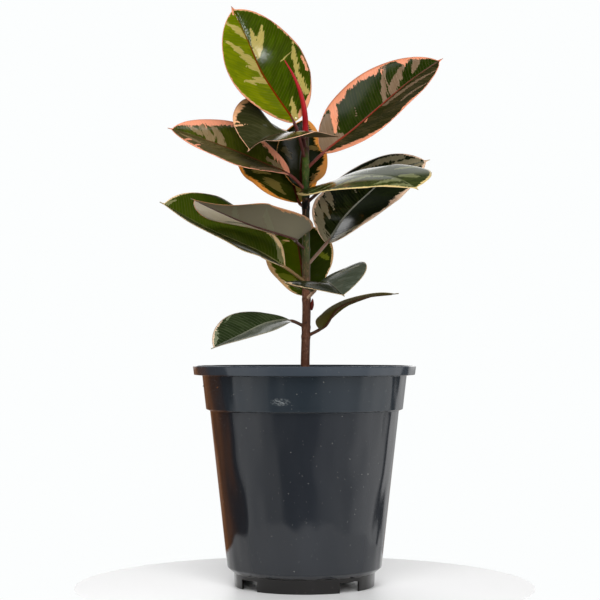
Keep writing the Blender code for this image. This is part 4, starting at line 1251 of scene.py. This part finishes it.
def scatter_tree(name, crumb, material):
    """Geometry Nodes that scatter crumbs over the faces of a surface."""
    group = bpy.data.node_groups.new(name, "GeometryNodeTree")
    kinds = {"Surface": "Geometry", "Seed": "Int"}
    for label in ("Surface", "Crumbs per Square Metre", "Smallest", "Largest", "Seed"):
        kind = kinds.get(label, "Float")
        group.interface.new_socket(label, in_out="INPUT", socket_type="NodeSocket" + kind)
    group.interface.new_socket("Crumbs", in_out="OUTPUT", socket_type="NodeSocketGeometry")
    tree = Tree(group)
    given = tree.outputs_of(tree.add("NodeGroupInput"))
    seed = given["Seed"]
    where = {"Mesh": given["Surface"], "Density": given["Crumbs per Square Metre"], "Seed": seed}
    spots = tree.get("GeometryNodeDistributePointsOnFaces", where)
    source = tree.get("GeometryNodeObjectInfo", {"Object": crumb}, "Geometry")
    turns = {"Max": (math.tau, math.tau, math.tau), "Seed": seed}
    turn = tree.get("FunctionNodeRandomValue", turns, data_type="FLOAT_VECTOR")
    sizes = {2: given["Smallest"], 3: given["Largest"], "Seed": seed}
    size = tree.get("FunctionNodeRandomValue", sizes, 1, data_type="FLOAT")
    put = {"Points": spots, "Instance": source, "Rotation": turn, "Scale": size}
    crumbs = tree.get("GeometryNodeInstanceOnPoints", put)
    real = tree.get("GeometryNodeRealizeInstances", {"Geometry": crumbs})
    painted = tree.get("GeometryNodeSetMaterial", {"Geometry": real, "Material": material})
    tree.feed(tree.add("NodeGroupOutput"), {"Crumbs": painted})
    return group


def crumb(name, size, seed):
    """A small lumpy stone or chip."""
    draw = np.random.default_rng(seed)
    shape = bmesh.new()
    bmesh.ops.create_icosphere(shape, subdivisions=1, radius=1.0)
    for vert in shape.verts:
        push = 1.0 + CRUMB_LUMPS * (draw.random() - 0.5)
        vert.co = vert.co * push * Vector(size) * MM
    return bpy.data.objects.new(name, mesh_from(shape, name))


def scattered(name, surface, number):
    """Crumbs of one kind scattered on a surface, as a plain mesh object."""
    size, dark, light, scale, density, small, large = CRUMBS[name]
    material = crumb_skin(name, dark, light, scale)
    bed = add_object(name, surface.copy())
    run = bed.modifiers.new("scatter", "NODES")
    run.node_group = scatter_tree(name, crumb(name, size, number), material)
    values = {"Crumbs per Square Metre": density, "Smallest": small, "Largest": large, "Seed": number + 2}
    for socket in run.node_group.interface.items_tree:
        if socket.name in values:
            run[socket.identifier] = values[socket.name]
    make_plain(bed)
    bed.data.materials.clear()
    bed.data.materials.append(material)
    return bed


def soil_top():
    """A gently crowned round sheet, uneven like loose soil."""
    draw = np.random.default_rng(5)
    shape = bmesh.new()
    steep = SOIL_WAVE_STEEPNESS
    waves = [
        (draw.uniform(-steep, steep), draw.uniform(-steep, steep), draw.uniform(0, 6))
        for _ in range(SOIL_WAVES)
    ]
    previous = [shape.verts.new((0, 0, (SOIL_EDGE_HEIGHT + SOIL_CROWN) * MM))] * SOIL_STEPS
    for ring in range(1, SOIL_RINGS + 1):
        reach = SOIL_REACH * ring / SOIL_RINGS
        line = []
        for spoke in range(SOIL_STEPS):
            turn = math.tau * spoke / SOIL_STEPS
            x, y = reach * math.cos(turn), reach * math.sin(turn)
            lump = sum(math.sin(a * x + b * y + c) for a, b, c in waves) * SOIL_WAVE_HEIGHT
            z = SOIL_EDGE_HEIGHT + SOIL_CROWN * (1 - (reach / SOIL_REACH) ** 2) + lump
            line.append(shape.verts.new((x * MM, y * MM, z * MM)))
        for spoke in range(SOIL_STEPS):
            after = (spoke + 1) % SOIL_STEPS
            corners = [previous[spoke], line[spoke], line[after], previous[after]]
            shape.faces.new(list(dict.fromkeys(corners)))
        previous = line
    mesh = mesh_from(shape, "soil_top")
    mesh.shade_smooth()
    return mesh


def soil_body():
    """The mix below its surface, as a closed solid that follows the pot's inner wall."""
    wall = [Vector((radius - SOIL_GAP, height)) for radius, height, fillet in pot_corners()[1:5]]
    wall[0].y += SOIL_LIFT
    top = SOIL_EDGE_HEIGHT - SOIL_BODY_DROP
    line = [Vector((0.0, wall[0].y)), *wall, Vector((SOIL_REACH, top)), Vector((0.0, top))]
    return make_plain(turned("soil_body", line, SOIL_STEPS, soil_skin()))


def make_soil():
    """The potting mix: a body, and loose bark, grit and white grains on top."""
    top = soil_top()
    body = soil_body()
    surface = add_object("soil_surface", top.copy(), body.data.materials[0])
    layers = [scattered(name, top, number) for number, name in enumerate(CRUMBS, 1)]
    dress(join_meshes("soil_look", [body, surface, *layers]), "soil")


def make_floor():
    """A round white table top that the pot stands on."""
    shape = bmesh.new()
    bmesh.ops.create_circle(shape, cap_ends=True, segments=128, radius=FLOOR_REACH * MM)
    material, tree, skin = new_material("studio_floor")
    tree.feed(skin, {"Base Color": FLOOR_COLOUR, "Roughness": FLOOR_ROUGH})
    floor = add_object("studio_floor", mesh_from(shape, "studio_floor"), material)


def area_light(name, place, aim, sides, power, mirrored):
    """A flat, right-angled light that points at its aim."""
    data = bpy.data.lights.new(name, "AREA")
    data.shape = "RECTANGLE"
    data.size, data.size_y = sides
    data.energy = power
    light = add_object(name, data)
    light.location = place
    light.rotation_euler = (Vector(aim) - Vector(place)).to_track_quat("-Z", "Y").to_euler()
    light.visible_glossy = mirrored


def room(tree, turn, stops):
    """The room's light by the way it is seen in: degrees from the front towards +X."""
    spots = [
        ((angle + 180) / 360, (glow, glow * (1 - WARM_GREEN * warmth), glow * (1 - WARM_BLUE * warmth), 1.0))
        for angle, glow, warmth in stops
    ]
    return tree.ramp(turn, spots)


def make_world():
    """A room with a bright window wall behind the plant, and plain white to look at."""
    world = bpy.data.worlds.new("studio")
    world.use_nodes = True
    bpy.context.scene.world = world
    tree = Tree(world.node_tree)
    nodes = world.node_tree.nodes
    way = tree.get("ShaderNodeTexCoord", output="Generated")
    x, y, z = (tree.axis(way, axis) for axis in "XYZ")
    turn = tree.math("ARCTAN2", x, y * -1.0) * (0.5 / math.pi) + 0.5
    windows = tree.ramp(z, [(rise, (glow, glow, glow, 1.0)) for rise, glow in WINDOW_HEIGHTS])
    light = tree.mix(tree.above(z, *EYE_LEVEL), room(tree, turn, ROOM_BELOW), room(tree, turn, ROOM_ABOVE))
    tree.feed(nodes["Background"], {"Color": light, "Strength": windows * WINDOW_GLOW})
    seen = tree.get("ShaderNodeBackground", {"Color": BACKDROP, "Strength": 1.0})
    path = tree.get("ShaderNodeLightPath", output="Is Camera Ray")
    lit = Value(tree, nodes["Background"].outputs[0])
    both = tree.get("ShaderNodeMixShader", {0: path, 1: lit, 2: seen})
    tree.feed(nodes["World Output"], {"Surface": both})


def make_camera():
    """The camera stands in front of the plant and looks slightly up."""
    data = bpy.data.cameras.new("camera")
    data.sensor_width = SENSOR_SIDE
    data.lens = SENSOR_SIDE * PICTURE_DISTANCE / PICTURE_SIDE
    camera = add_object("camera", data)
    camera.location = Vector(CAMERA_PLACE) * MM
    camera.rotation_euler = (math.radians(90 + CAMERA_RISE), 0, 0)
    bpy.context.scene.camera = camera


def main():
    make_camera()
    make_floor()
    make_world()
    for name, light in LIGHTS.items():
        area_light(name, *light)
    bpy.context.scene.view_settings.view_transform = "Standard"
    make_pot()
    make_soil()
    make_stem()
    make_sheath()
    for number, leaf in enumerate(LEAVES, 1):
        make_leaf(leaf, number)


main()
